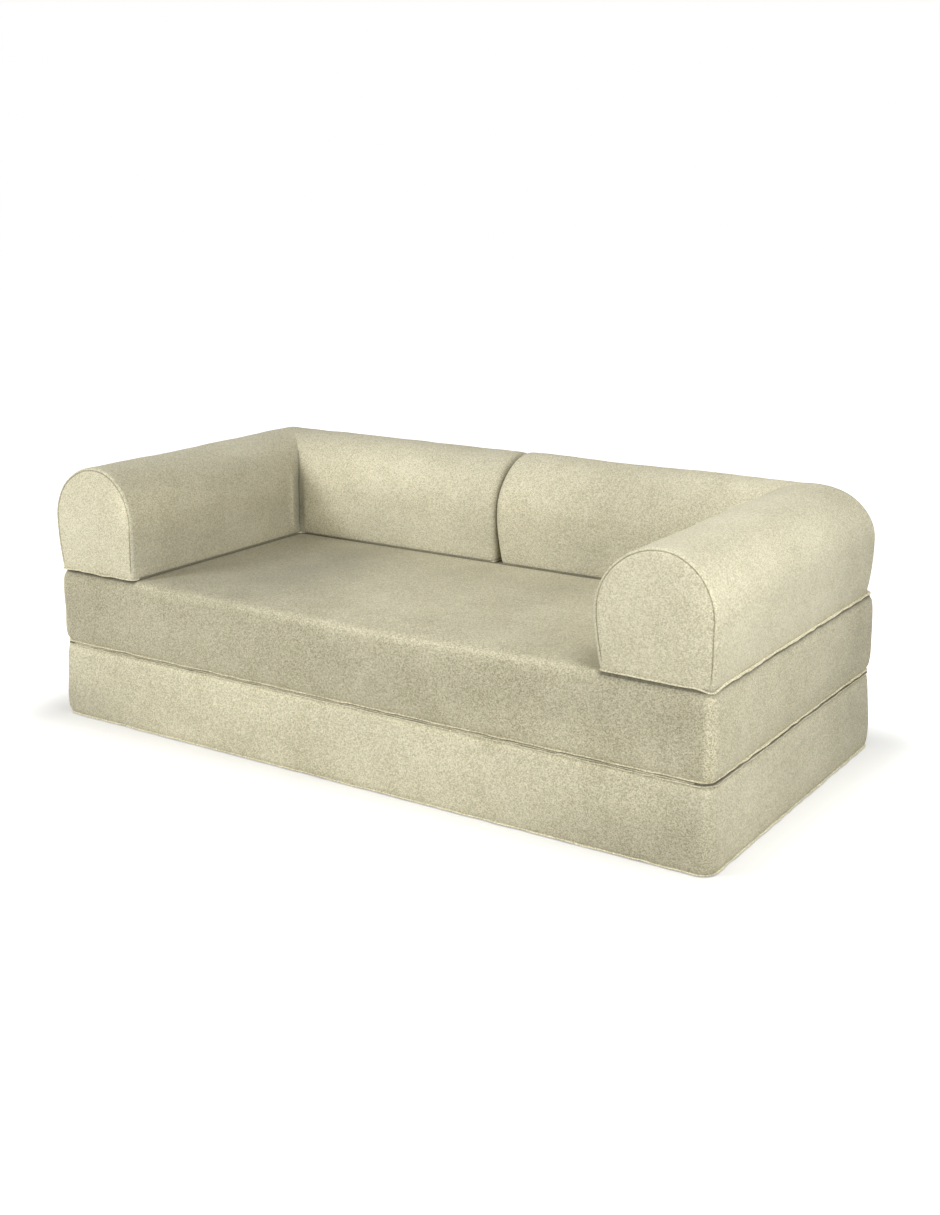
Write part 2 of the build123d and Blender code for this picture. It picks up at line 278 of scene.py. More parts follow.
# A closed skin from rings: rows of points joined in order, each row a closed ring, and a pole at each end.
# With the ring going from the inner side over the top to the outer side and rows going forwards, faces point out.
def ringFaces(rows, columns, flipped=False):
    index = np.arange(rows * columns).reshape(rows, columns)
    after = np.roll(index, -1, axis=1)
    quads = np.stack([index[:-1], after[:-1], after[1:], index[1:]], axis=-1).reshape(-1, 4)
    firstPole, lastPole = rows * columns, rows * columns + 1
    capOne = np.stack([after[0], index[0], np.full(columns, firstPole)], axis=-1)
    capTwo = np.stack([index[-1], after[-1], np.full(columns, lastPole)], axis=-1)
    triangles = np.concatenate([capOne, capTwo])
    return (quads[:, ::-1], triangles[:, ::-1]) if flipped else (quads, triangles)


# The skin of a box of grid lines: the places of the lattice points on its outside, which of all points those are,
# and the quads of its six sides
def latticeSkin(lines):
    places = np.meshgrid(*lines, indexing="ij")
    outside = np.any([(place == line[0]) | (place == line[-1]) for place, line in zip(places, lines)], axis=0)
    number = np.full(outside.shape, -1)
    number[outside] = np.arange(outside.sum())

    def side(sheet, flipped):
        q = np.stack([sheet[:-1, :-1], sheet[1:, :-1], sheet[1:, 1:], sheet[:-1, 1:]], axis=-1).reshape(-1, 4)
        return q[:, ::-1] if flipped else q

    quads = np.concatenate([
        side(number[:, :, -1], False), side(number[:, :, 0], True),
        side(number[-1], False), side(number[0], True),
        side(number[:, -1], True), side(number[:, 0], False),
    ])
    return [place[outside] for place in places], outside, quads


# Grid lines between two ends: even steps, closer together near the listed lines
def gridLines(start, end, step, close=(), closeStep=0.003, reach=0.012):
    marks = [start, end]
    for line in close:
        marks += [line + d for d in np.arange(-reach, reach + closeStep / 2, closeStep) if start <= line + d <= end]
    marks = np.unique(np.round(np.array(marks), 6))
    kept = [marks[0]]
    for mark in marks[1:]:
        gap = mark - kept[-1]
        pieces = max(1, int(round(gap / step)))
        kept += [kept[-1] + gap * (p + 1) / pieces for p in range(pieces)] if gap > tiny else []
    return np.array(kept)


# Grid lines across and along a block, closer together beside its edges and the other places named
def planLines(v, step, close, reach, alsoX=(), alsoY=()):
    return [gridLines(-half, half, step, [-half, half, *also], close, reach)
            for half, also in ((v["halfX"], alsoX), (v["halfY"], alsoY))]


# Smooth ripple of a given wavelength: a sum of sine waves in seeded directions, between about -1 and 1
def ripple(points, wavelength, seed, waves=7):
    maker = np.random.default_rng(seed)
    directions = maker.normal(size=(waves, 3))
    directions /= np.linalg.norm(directions, axis=1, keepdims=True)
    lengths = wavelength * maker.uniform(0.7, 1.5, waves)
    phases = maker.uniform(0, 2 * math.pi, waves)
    total = np.sin(points @ (directions / lengths[:, None]).T * 2 * math.pi + phases).sum(axis=-1)
    return total / math.sqrt(waves)


# The sum of ripples of (height, wavelength), with one seed after another
def ripples(points, parts, seed):
    return sum(height * ripple(points, length, seed + i) for i, (height, length) in enumerate(parts))


# The sum of sine waves of (height, radians a metre, start)
def sway(places, parts):
    return sum(height * np.sin(places * turns + start) for height, turns, start in parts)


# From 0 below the low end to 1 above the high end, with a level start and finish
def smoothStep(value, low, high):
    t = np.clip((value - low) / (high - low), 0, 1)
    return t * t * (3 - 2 * t)


# A bell: 1 at zero, falling off over the given reach
def bell(distance, reach):
    return np.exp(-(distance / reach) ** 2)


# Weights that carry values from coarse grid lines to fine ones along a smooth curve through them
def smoothWeights(coarse, fine):
    place = np.interp(fine, coarse, np.arange(len(coarse)))
    cell = np.clip(np.floor(place).astype(int), 0, len(coarse) - 2)
    f = place - cell
    shares = np.stack([-0.5 * f + f**2 - 0.5 * f**3, 1 - 2.5 * f**2 + 1.5 * f**3,
                       0.5 * f + 2 * f**2 - 1.5 * f**3, -0.5 * f**2 + 0.5 * f**3], axis=1)
    weights = np.zeros((len(fine), len(coarse)))
    for k in range(4):
        np.add.at(weights, (np.arange(len(fine)), np.clip(cell + k - 1, 0, len(coarse) - 1)), shares[:, k])
    return weights


# Cloth under the foam's pressure: the skin swells where it isn't held, and the moves come back capped
clothValues = {
    "quality": 5, "mass": 0.25, "tension_stiffness": 14, "compression_stiffness": 14, "bending_stiffness": 1.5,
    "use_pressure": True,
}
clothFrames = 20


def swell(name, points, faces, held, v):
    obj = meshObject(name, points, faces, paleChenille)
    group = obj.vertex_groups.new(name="held")
    for level in np.unique(held[held > 0]):
        group.add(np.flatnonzero(held == level).tolist(), float(level), "REPLACE")
    cloth = obj.modifiers.new("cloth", "CLOTH")
    for setting, value in clothValues.items():
        setattr(cloth.settings, setting, value)
    cloth.settings.uniform_pressure_force = v["pressure"]
    cloth.settings.effector_weights.gravity = 0
    cloth.settings.vertex_group_mass = "held"
    cloth.point_cache.frame_end = clothFrames
    for frameNumber in range(1, clothFrames + 1):
        scene.frame_set(frameNumber)
    shaped = obj.evaluated_get(bpy.context.evaluated_depsgraph_get())
    flat = np.empty(len(points) * 3)
    shaped.data.vertices.foreach_get("co", flat)
    moves = flat.reshape(-1, 3) - points
    scene.frame_set(1)
    bpy.data.objects.remove(obj)
    size = np.linalg.norm(moves, axis=1, keepdims=True)
    print(f"{name}: swelled {size.max() / mm:.1f} mm before the cap")
    most = v["mostSwell"]
    return moves * np.where(size > 0, most * np.tanh(size / most) / np.maximum(size, 1e-9), 0)


# Hands a piece over: hides the nodes it stands in for and sets it on the body it rides on
def handOver(piece, nodes, body):
    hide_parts(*nodes)
    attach(piece, body)


# Mattresses

zipValues = {
    "mattressMiddle": 0.0, "mattressHalf": 0.800, "bolsterMiddle": 0.47575, "bolsterHalf": 0.320,
    "rise": 0.046,            # of the zip's middle above the foot
    "halfSlot": 0.013, "recess": 0.0095,
    "rim": 0.0008,            # half the width over which the cloth turns into the slot
}


# How full a block's corners are between the seams, and how its walls spread towards the foot
blockValues = {"cornerFull": 0.0, "spread": 0.0, "spreadHeights": (0.15, 0.85), "frontSpread": 0.6}


# A soft block. Seen from above it is a rectangle whose corner squares are turned into quarter discs. Its sides
# are arcs that bulge between the seams, and its edges roll over by a quarter circle of the given radius.
def softBlock(x, y, z, v):
    v = {**blockValues, **v}
    a, b, r = v["halfX"], v["halfY"], v["corner"]
    middleX, middleY = np.clip(x, r - a, a - r), np.clip(y, r - b, b - r)
    awayX, awayY = x - middleX, y - middleY
    across = np.maximum(np.abs(awayX), np.abs(awayY))
    length = np.hypot(awayX, awayY)
    outX = np.divide(awayX, length, out=np.zeros_like(x), where=length > 0)
    outY = np.divide(awayY, length, out=np.zeros_like(y), where=length > 0)
    inward = r - across
    height = v["top"] - v["base"]
    fromTop, fromBase = v["top"] - z, z - v["base"]
    fromMiddle = 2 * fromBase / height - 1
    seamDraw = np.where(fromMiddle > 0, v["draw"], v.get("baseDraw", v["draw"]))
    drawn = seamDraw * np.abs(fromMiddle)**3
    onSide = inward < tiny
    # the top and bottom sheets start at the drawn-in seam and reach their own place a corner's width in
    inset = np.where(onSide, drawn, seamDraw + inward * (r - seamDraw) / r)
    level = z.copy()
    edgeTop = v["edgeTop"](x) if callable(v["edgeTop"]) else np.full_like(x, v["edgeTop"])
    edgeBase = np.full_like(x, v["edgeBase"])
    for edge, depth, sheet, sign in ((edgeTop, fromTop, v["top"], -1), (edgeBase, fromBase, v["base"], 1)):
        onSheet = ~onSide & (depth < tiny)
        sideRoll, sheetRoll = onSide & (depth < edge), onSheet & (inward < edge)
        angle = np.where(sideRoll, (1 - depth / edge) * math.pi / 4, math.pi / 4 * (1 + inward / edge))
        rollInset = seamDraw + edge * (1 - np.cos(angle))
        rolled = sideRoll | sheetRoll
        inset = np.where(rolled, np.where(sideRoll, np.maximum(rollInset, drawn), rollInset), inset)
        level = np.where(rolled, sheet + sign * edge * (1 - np.sin(angle)), level)
        start = seamDraw + edge
        share = (inward - edge) / np.maximum(r - edge, tiny)
        inset = np.where(onSheet & (inward >= edge), start + share * (r - start), inset)
    # between the seams the corners are fuller than the seams' round, and the walls spread towards the foot
    full = v["cornerFull"] * 2 * np.abs(outX * outY) * (1 - fromMiddle**8) * onSide
    spread = v["spread"] * smoothStep(fromTop / height, *v["spreadHeights"])
    px = np.where(length > 0, middleX + outX * (r - inset + full), x) + spread * np.sign(x) * np.abs(outX)
    py = np.where(length > 0, middleY + outY * (r - inset + full), y) + spread * v["frontSpread"] * np.minimum(outY, 0)
    return np.stack([px, py, level], axis=-1), np.stack([outX, outY], axis=-1), onSide, inward


# The zip's sunk slot: 1 inside its outline, 0 outside, and a smooth turn at its rim
def slotDepth(x, z, middle, half, level):
    halfSlot, rim = zipValues["halfSlot"], zipValues["rim"]
    insideX = smoothStep(-np.abs(x - middle), -half - rim, -half + rim)
    insideZ = smoothStep(-np.abs(z - level), -halfSlot - rim, -halfSlot + rim)
    return insideX * insideZ


# Patches painted paler or deeper: partly painted shadow and light, such as the left arm's shadow on the seat, and
# partly where hands and sitting have left the pile leaning: each has a centre, a reach along X, Y and Z and an amount,
# and fades as a bell curve
def shadeAndLeanPatches(points, patches):
    total = np.zeros(points.shape[:-1])
    for centre, reach, amount in patches:
        away = (points - np.array(centre)) / np.array(reach)
        total += amount * np.exp(-(away**2).sum(axis=-1))
    return total


# Where the painted light and shade and the nap of a mattress begin and end, in metres
napAndLightPlaces = {
    # painted highlights on the top bend and round the corners
    "bend": (0.014, 0.022),          # reach of the top bend down the side and in over the sheet
    "bendFront": (0.30, 0.45), "bendEnd": (0.70, 0.05),    # the part of it that shows
    "corner": (0.60, 1.0),           # share of the way round a corner
    # the left arm's painted shadow on the seat, the front's painted shade growing to the right, and the painted shade
    # at the foot
    "left": (0.30, 0.66), "right": (0.30, 0.85), "foot": 0.010,
    # a painted shade line under the top lip and a painted pale band below it: below the top, reach, share
    "stitch": (0.0074, 0.0024, 2.0), "pileBelow": (0.0140, 0.0055),
    # the feet of the bolsters, with painted shade under them
    "feetX": (0.676, 0.683), "feetY": (0.202, 0.209), "pressedDepth": (0.0040, 0.0015),
}


# The nap and painted light of a mattress: painted shade and light on its front, its ends and its top, and a painted
# highlight on its bends
def mattressNapAndLight(x, y, z, out, onSide, inward, v, p=napAndLightPlaces):
    below = v["top"] - z
    front = np.clip(-out[:, 1], 0, 1) ** 2 * onSide
    sideReach, sheetReach = p["bend"]
    bend = bell(below, sideReach) * onSide + bell(inward, sheetReach) * ~onSide * (below < tiny)
    endStart, endBlur = p["bendEnd"]
    lineBelow, lineReach, lineShare = p["stitch"]
    pileBelow, paleBandReach = p["pileBelow"]
    # painted shade on the front and more of it towards the right end, painted light and shade on the ends, painted
    # highlights on the corners and the top bend, painted shade at the foot, and the left arm's painted shadow on the
    # seat
    shades = {
        "front": front,
        "frontRight": smoothStep(x, *p["right"]) * front,
        "end": out[:, 0] ** 2 * onSide,
        "corner": smoothStep(2 * np.abs(out[:, 0] * out[:, 1]), *p["corner"]) * onSide,
        "edge": bend * smoothStep(-y, *p["bendFront"]) * smoothStep(endStart - np.abs(x), 0.0, endBlur),
        "foot": bell(z - v["base"], p["foot"]) * onSide,
        "deepLeft": smoothStep(-x, *p["left"]) * ~onSide,
        # painted shade in a line just under the top lip, and a painted pale band below it
        "stitch": (bell(below - pileBelow, paleBandReach) - lineShare * bell(below - lineBelow, lineReach)) * onSide,
        # painted shade under the bolsters' feet
        "pressed": np.maximum(smoothStep(np.abs(x), *p["feetX"]), smoothStep(y, *p["feetY"]))
                   * smoothStep(-below, *(-depth for depth in p["pressedDepth"])),
    }
    return sum(v["nap"][label] * shade for label, shade in shades.items())


gridValues = {
    "close": 0.004, "closeReach": 0.012,              # lines beside the edges, the zip's ends and the bolsters
    "bolsterX": 0.680, "bolsterY": 0.206,
    "closeUp": 0.0015, "closeUpReach": 0.003,         # the same for the lines up the walls
    "roughStep": 0.028, "roughClose": 0.014, "roughReach": 0.03, "roughUp": 0.022,
}
mattressValues = {
    "halfX": 0.950, "halfY": 0.475, "corner": 0.036, "step": 0.0125, "pressure": 4.0, "cornerFull": 0.0070,
    "frontProud": 0.0026,
    # the hand-cut foam behind the cloth isn't quite flat: ripples of (height, wavelength)
    "uneven": ((0.0011, 0.32), (0.0005, 0.11)),
    "calmByZip": (0.040, 0.018),                      # metres from the zip's middle
}


# A mattress's cover: the soft block on a fine grid, plus the swelling of its cloth, the foam's ripples and its own
# form, with the zip's slot sunk into the rear
def makeMattress(name, v, g=gridValues):
    rear, base, top = v["halfY"], v["base"], v["top"]
    zipMiddle, zipHalf, halfSlot = zipValues["mattressMiddle"], zipValues["mattressHalf"], zipValues["halfSlot"]
    slotLevel = base + zipValues["rise"]
    closeX, closeY = [-zipHalf, zipHalf, -g["bolsterX"], g["bolsterX"]], [g["bolsterY"]]
    # rows for the painted shade line under the top lip
    closeUp = [base, top, slotLevel - halfSlot, slotLevel + halfSlot, *[top - row for row in v["stitchRows"]]]
    fine = [*planLines(v, v["step"], g["close"], g["closeReach"], closeX, closeY),
            gridLines(base, top, v["step"], closeUp, g["closeUp"], g["closeUpReach"])]
    rough = [*planLines(v, g["roughStep"], g["roughClose"], g["roughReach"]), gridLines(base, top, g["roughUp"])]

    # what the pressure does, on the rough grid: the bottom is held, and the top where it isn't open to the sitter
    (x, y, z), outside, quads = latticeSkin(rough)
    points, _, onSide, _ = softBlock(x, y, z, v)
    isTop = z > top - tiny
    held = np.where((z < base + tiny) | (isTop & (v["open"](x, y) < 0.5)), 1.0, 0.0)
    held = np.where(isTop & onSide, v["edgeHeld"], held)
    moves = np.zeros((*outside.shape, 3))
    moves[outside] = swell(name + "Swell", points, [quads], held, v) * (1 - smoothStep(held, 0.5, 1.0))[:, None]

    # the finished skin, on the fine grid, with the pressure's moves carried over
    (x, y, z), outside, quads = latticeSkin(fine)
    weights = [smoothWeights(few, many) for few, many in zip(rough, fine)]
    carried = np.einsum("ai,bj,ck,ijkd->abcd", *weights, moves, optimize=True)[outside]
    points, out, onSide, inward = softBlock(x, y, z, v)
    onRear = y > rear - tiny
    far, near = v["calmByZip"]
    moving = 1 - smoothStep(-np.abs(z - slotLevel), -far, -near) * onRear
    points = points + carried * moving[:, None]
    loose = np.sin(math.pi * np.clip((z - base) / (top - base), 0, 1)) ** 0.5
    wavy = ripples(points, v["uneven"], v["seed"])
    points[:, :2] += out * (onSide * loose * wavy * moving)[:, None]
    points = v["form"](points, x, y, z, onSide, v)
    # the fronts meet when the upper mattress is folded out, so neither may stand further than frontProud
    proud = -rear - points[:, 1]
    points[:, 1] -= np.where(proud > 0, v["frontProud"] * np.tanh(proud / v["frontProud"]) - proud, 0)
    slot = slotDepth(x, z, zipMiddle, zipHalf, slotLevel) * onRear
    flatBack = np.where(slot > 0, rear - zipValues["recess"], points[:, 1])
    points[:, 1] = points[:, 1] * (1 - slot) + flatBack * slot
    # the nap with painted light and shade, plus patches of painted shadow and light and of leaning pile
    nap = mattressNapAndLight(x, y, z, out, onSide, inward, v) + shadeAndLeanPatches(np.stack([x, y, z], axis=-1), v["patches"])
    return meshObject(name, points, [quads], v["material"], nap=nap)


# How open the top is, from 0 to 1: the lower mattress is covered by the upper one, and keeps the form it was cut
def allCovered(x, y):
    return np.zeros_like(x)


def asCut(points, x, y, z, onSide, v):
    return points


seatValues = {
    "openHalf": 0.655, "openBack": 0.185, "openBlur": 0.05,      # the seat between the arms and the back
    "frontSag": 0.009, "sagDepth": 0.07, "sagIn": 0.11, "sagHalf": 0.66,
    "backSag": 0.25,                                             # share of the sag that goes backwards
    "lean": (0.25, 2.1, 0.6),                                    # the sag is uneven: amount, radians a metre, start
    "dish": 0.0012, "dishFrom": (-0.1, 0.35), "crumple": [(0.0009, 0.26)], "crumpleSeed": 31,
    "edge": 0.009, "edgeMore": 0.022, "edgeHalf": 0.70, "edgeBlur": 0.14,
}


# The seat is open between the arms and in front of the back, and there the pad may rise
def seatIsOpen(x, y, s=seatValues):
    blur = s["openBlur"]
    return smoothStep(s["openHalf"] - np.abs(x), 0.0, blur) * smoothStep(s["openBack"] - y, 0.0, blur)


# The upper mattress: a seat a little dished behind a front edge that has been sat on. The edge sags by a squared
# cosine along its length, and fades out downwards and backwards.
def seatForm(points, x, y, z, onSide, v, s=seatValues):
    nearTop = smoothStep(z, v["top"] - s["sagDepth"], v["top"])
    front = smoothStep(-y, v["halfY"] - s["sagIn"], v["halfY"])
    midSpan = np.cos(np.clip(x / s["sagHalf"], -1, 1) * math.pi / 2) ** 2
    amount, turns, start = s["lean"]
    sag = s["frontSag"] * nearTop * front * midSpan
    points[:, 2] -= sag * (1 - amount * np.sin(x * turns + start))
    points[:, 1] += s["backSag"] * sag * onSide
    dished = ripples(points, s["crumple"], s["crumpleSeed"]) - s["dish"] * smoothStep(-y, *s["dishFrom"])
    points[:, 2] += seatIsOpen(x, y) * (z > v["top"] - tiny) * dished
    return points


# The seat's front edge rolls over widely between the arms and is pressed to a tight edge under them
def seatEdge(x, s=seatValues):
    return s["edge"] + s["edgeMore"] * smoothStep(s["edgeHalf"] - np.abs(x), 0.0, s["edgeBlur"])


lowerValues = {
    **mattressValues, "base": 0.0010, "top": 0.1998, "draw": 0.0055, "baseDraw": 0.0030, "edgeTop": 0.0070,
    "edgeBase": 0.0070, "mostSwell": 0.0025, "edgeHeld": 1.0, "open": allCovered, "form": asCut, "seed": 11,
    "material": paleChenille, "spread": 0.0060, "stitchRows": (0.006, 0.0105, 0.015),
    # nap: painted light and shade on the sides, corners, bends and foot; patches: painted shadow and light, and
    # leaning pile
    "nap": {"front": 0.0, "frontRight": -0.07, "end": -0.12, "corner": 0.08, "edge": 0.04, "foot": -0.14,
            "deepLeft": 0.0, "stitch": 0.095, "pressed": 0.0},
    "patches": [((-0.90, -0.475, 0.03), (0.20, 0.03, 0.07), -0.25), ((0.75, -0.475, 0.03), (0.30, 0.03, 0.07), -0.22),
                ((0.93, -0.475, 0.12), (0.10, 0.03, 0.10), -0.14), ((-0.33, -0.475, 0.15), (0.25, 0.03, 0.05), 0.13),
                ((0.28, -0.475, 0.15), (0.12, 0.03, 0.05), 0.07), ((0.95, -0.38, 0.10), (0.03, 0.20, 0.10), 0.08),
                ((0.95, 0.40, 0.10), (0.03, 0.18, 0.12), -0.11)],
}
upperValues = {
    **mattressValues, "base": 0.2014, "top": 0.4002, "draw": 0.0040, "baseDraw": 0.0055, "edgeTop": seatEdge,
    "edgeBase": 0.0090, "mostSwell": 0.0030, "edgeHeld": 0.3, "open": seatIsOpen, "form": seatForm, "seed": 23,
    "material": greyedChenille, "spread": 0.0015, "stitchRows": (),
    # nap: painted light and shade on the sides, corners, bends and foot; patches: painted shadow and light, and
    # leaning pile
    "nap": {"front": -0.06, "frontRight": -0.03, "end": 0.08, "corner": 0.26, "edge": 0.22, "foot": -0.05,
            "deepLeft": -0.20, "stitch": 0.0, "pressed": -0.50},
    "patches": [((-0.37, -0.12, 0.40), (0.12, 0.28, 0.03), -0.32), ((0.03, -0.26, 0.40), (0.20, 0.20, 0.03), 0.15),
                ((0.27, 0.10, 0.40), (0.14, 0.10, 0.03), -0.14), ((0.48, -0.37, 0.40), (0.12, 0.12, 0.03), -0.08),
                ((0.60, -0.475, 0.23), (0.22, 0.03, 0.05), 0.14), ((-0.87, -0.475, 0.29), (0.08, 0.03, 0.08), -0.08),
                ((-0.36, 0.12, 0.40), (0.10, 0.10, 0.03), -0.12), ((0.95, -0.38, 0.30), (0.03, 0.20, 0.10), 0.09),
                ((0.95, 0.40, 0.30), (0.03, 0.18, 0.12), -0.11)],
}
for level, values in (("lower", lowerValues), ("upper", upperValues)):
    cover = makeMattress(level + "MattressCover", values)
    handOver(cover, [level + "_cover"], level + "_mattress")
print("mattress covers made")


# Bolsters

# The lines of a bolster's grid: heights up a side, steps over the top and across the foot, the step along a leg,
# and how far further lines lie from the mitre and from the zip's ends
fineGrid = {
    "heights": [0.0003, 0.0011, 0.0024, 0.0042, 0.0068, 0.0105, 0.016, 0.023, 0.0315, 0.0325, 0.0335, 0.0345, 0.046,
                0.0575, 0.0585, 0.0595, 0.0605, 0.070, 0.081, 0.092, 0.103, 0.114, 0.125, 0.136, 0.1475],
    "arcSteps": 38, "footSteps": 20, "step": 0.012,
    "mitre": [0.0, 0.004, 0.009, 0.015, 0.022, 0.029, 0.035, 0.041, 0.047, 0.053, 0.060, 0.069],
    "zipEnds": (-0.0025, -0.0009, 0.0009, 0.0025),
}
roughGrid = {
    "heights": [0.003, 0.03, 0.06, 0.09, 0.12, 0.1475], "arcSteps": 16, "footSteps": 9, "step": 0.028,
    "mitre": [0.0, 0.03], "zipEnds": (),
}
bolsterValues = {
    "half": 0.1375, "bolsterHeight": 0.285, "spring": 0.1475, "base": 0.4012,
    "armMiddle": 0.8125, "backMiddle": 0.3375, "frontEnd": -0.475, "centreEnd": 0.0015,
    "draw": 0.008, "endDraw": 0.008,      # the sides and the ends draw in to the foot
    "endRoll": 0.005, "centreRoll": 0.010, "footRoll": 0.0068, "footGap": 0.0004,
    "cornerSoft": 0.050, "softFrom": -0.55,
    "capMiddle": 0.132, "capDome": 0.003, "capSeamUp": (0.012, 0.030),     # a cap's seam fades out to the foot
    "zipDraw": 0.003,                     # how far the ends draw in at the zip's height
    "mitreReach": 0.075, "rowGap": 0.0012,
    "pressure": 4.0, "mostSwell": 0.003, "heldUp": 0.006, "material": bolsterChenille,
    # form, in metres: ripples of (height, wavelength), and where each feature begins and ends
    "uneven": ((0.0012, 0.30), (0.0005, 0.10)), "unevenUp": (0.004, 0.06),
    "flatSide": (0.80, 0.90), "flatUp": (0.060, 0.090),                    # flat cloth round the zip
    "bellyPower": 1.5, "bellySide": (0.2, 1.0), "bellyFrom": (0.02, 0.25),
    "innerUp": (0.001, 0.24), "puckerUp": ((0.0, 0.04), (0.14, 0.22)),     # rises and falls off upwards
    "puckerLine": (0.042, 0.008, 16, 0.009),      # from the crease, its wander, radians a metre, reach
    "dive": (0.8, 0.010), "backDive": (0.6, 0.012),                        # share of the pucker, reach
    "settleX": (0.90, 0.945), "settleY": (0.40, 0.47), "settleUp": 0.08,
    "slotFrom": (0.10, 0.001),            # across and up, past which the zip's slot may sink the cloth
    # the places and amounts of painted light and shade, and of the nap, that both bolsters share
    "seatSide": (0.45, 0.97), "outerSide": (0.3, 0.95), "creaseReach": 0.035, "creaseLine": (0.25, 0.005),
    "footShades": ((0.40, 0.0020, 0.0060), (0.08, 0.004, 0.020)), "seatFoot": (0.35, 0.0030, 0.0065),
    "puckerShade": 0.20, "besidePucker": (0.014, 0.020), "fullPucker": 0.0085,
    "seamRings": (12, 11), "gapFrom": 0.002, "gapReach": 0.006, "armFootReach": 0.035,
    # the painted offset against the seat's yellow light: its share on the arm, and the heights over which it fades
    "coolArm": 0.55, "coolUp": (0.02, 0.22),
}


# The section at one inset: up the inner side, whose half width grows along a parabola to the springing, over a
# half circle, down the outer side and back along the flat foot. Gives the distance across and the height.
def bolsterSection(inset, v, g):
    spring, half = v["spring"], v["half"] - inset
    level = inset + np.array(g["heights"]) * (spring - inset) / spring
    low = np.clip(1 - (level - inset) / v["footRoll"], 0, 1)
    width = half - v["draw"] * ((spring - level) / spring) ** 2 - v["footRoll"] * (1 - np.sqrt(1 - low**2))
    angle = np.linspace(0, math.pi, g["arcSteps"] + 1)[1:-1]
    footHalf = half - v["draw"] * ((spring - inset) / spring) ** 2
    foot = np.linspace(1, -1, g["footSteps"]) * (footHalf - v["footRoll"] - v["footGap"])
    n = np.concatenate([-width, -np.cos(angle) * half, width[::-1], foot])
    z = np.concatenate([level, spring + np.sin(angle) * half, level[::-1], np.full(g["footSteps"], inset)])
    return n, z


# Rings of an end cap, from its middle out: a share of full size, an inset and how far in the ring lies. The seam
# lies just inside the cap's rolled edge.
def capRings(roll):
    rings = [(k, roll + 0.0070, 0.0) for k in (0.10, 0.22, 0.34, 0.46, 0.58, 0.69, 0.79, 0.88, 0.95)]
    groove = ((0.0072, 0.0), (0.0050, 0.0004), (0.0036, 0.0015), (0.0025, 0.0033), (0.0015, 0.0015),
              (0.0006, -0.0004), (0.0, -0.0005))
    rings += [(1, roll + inside, depth) for inside, depth in groove]
    rings += [(1, roll * (1 - math.sin(a)), roll * (1 - math.cos(a))) for a in np.radians([17, 34, 51, 68, 90])]
    return rings


# One bolster: the section is carried from the front cap along the arm to the mitre and along the back to the
# centre cap. At the mitre the inner side keeps its crease and the outer side is drawn round by cornerSoft.
def bolsterPoints(v, g, frontRings, centreRings, extra=0.0):
    arm, back, frontEnd, centreEnd = v["armMiddle"], v["backMiddle"], v["frontEnd"], v["centreEnd"]
    lengthArm, lengthBack = back - frontEnd - v["endRoll"], arm - centreEnd - v["centreRoll"]

    # the ends bow out at mid height
    def crown(z):
        return v["endDraw"] * (2 * z / v["bolsterHeight"] - 1) ** 2

    # where a leg's rows lie, as shares of its length
    def shares(length, marks):
        even, nearMitre = np.arange(0, length - v["mitreReach"], g["step"]), length - np.array(g["mitre"])
        lines = np.unique(np.round(np.concatenate([even, nearMitre, marks]), 6))
        kept = [lines[0]]
        for line in lines[1:]:
            if line - kept[-1] > v["rowGap"] or line == lines[-1]:
                kept.append(line)
        return np.array(kept) / kept[-1]

    # a cap's rings: across, up, and how far in from the end
    def capRows(rings, roll):
        rows = []
        for k, inset, inwards in rings:
            n, z = bolsterSection(inset + extra, v, g)
            n, z = n * k, v["capMiddle"] + (z - v["capMiddle"]) * k
            sunk = inwards * np.where(inset > roll + 0.0005, smoothStep(z, *v["capSeamUp"]), 1.0)
            rows.append((n, z, sunk + extra + crown(z) - v["capDome"] * (1 - k * k)))
        return rows

    marks = []
    for end in (zipValues["bolsterMiddle"] - zipValues["bolsterHalf"],
                zipValues["bolsterMiddle"] + zipValues["bolsterHalf"]):
        rearLength = arm + v["half"] - centreEnd - v["centreRoll"] - v["zipDraw"]
        share = (end - centreEnd - v["centreRoll"]) / rearLength
        marks += [share * lengthBack + d for d in g["zipEnds"]]
    n, z = bolsterSection(extra, v, g)
    mitreX, mitreY = arm + n, back + n
    startX = centreEnd + v["centreRoll"] + extra + crown(z)
    startY = frontEnd + v["endRoll"] + extra + crown(z)
    rows = [(arm + across, frontEnd + place, up) for across, up, place in capRows(frontRings, v["endRoll"])]
    rows += [(mitreX, startY + (mitreY - startY) * share, z) for share in shares(lengthArm, [])[1:-1]]
    mitreRow = len(rows)
    rows.append((mitreX, mitreY, z))
    rows += [(startX + (mitreX - startX) * share, mitreY, z) for share in shares(lengthBack, marks)[1:-1][::-1]]
    rows += [(centreEnd + place, back + across, up)
             for across, up, place in capRows(centreRings, v["centreRoll"])[::-1]]
    grid = np.array([np.stack(row, axis=-1) for row in rows])

    # the outer side of the mitre is drawn round: a point moves in along the mitre by its share of the curve
    across = np.broadcast_to(n, grid.shape[:2])
    onArm = np.arange(len(grid))[:, None] <= mitreRow
    away = np.where(onArm, back + across - grid[..., 1], arm + across - grid[..., 0])
    soft = v["cornerSoft"] * smoothStep(across / v["half"], v["softFrom"], 1.0)
    pull = np.where(soft > 1e-5, soft * (np.clip(1 - away / np.maximum(soft, 1e-5), 0, 1) / 2) ** 2, 0)
    grid[..., :2] -= pull[..., None]
    poles = np.array([[arm, frontEnd + extra - v["capDome"], v["capMiddle"]],
                      [centreEnd + extra - v["capDome"], back, v["capMiddle"]]])
    return grid, poles, mitreRow, across


# How far round the section's ring each point lies, from 0 to 1
def ringParameter(ring):
    steps = np.linalg.norm(np.diff(ring, axis=0, append=ring[:1]), axis=1)
    return np.concatenate([[0], np.cumsum(steps)[:-1]]) / steps.sum()


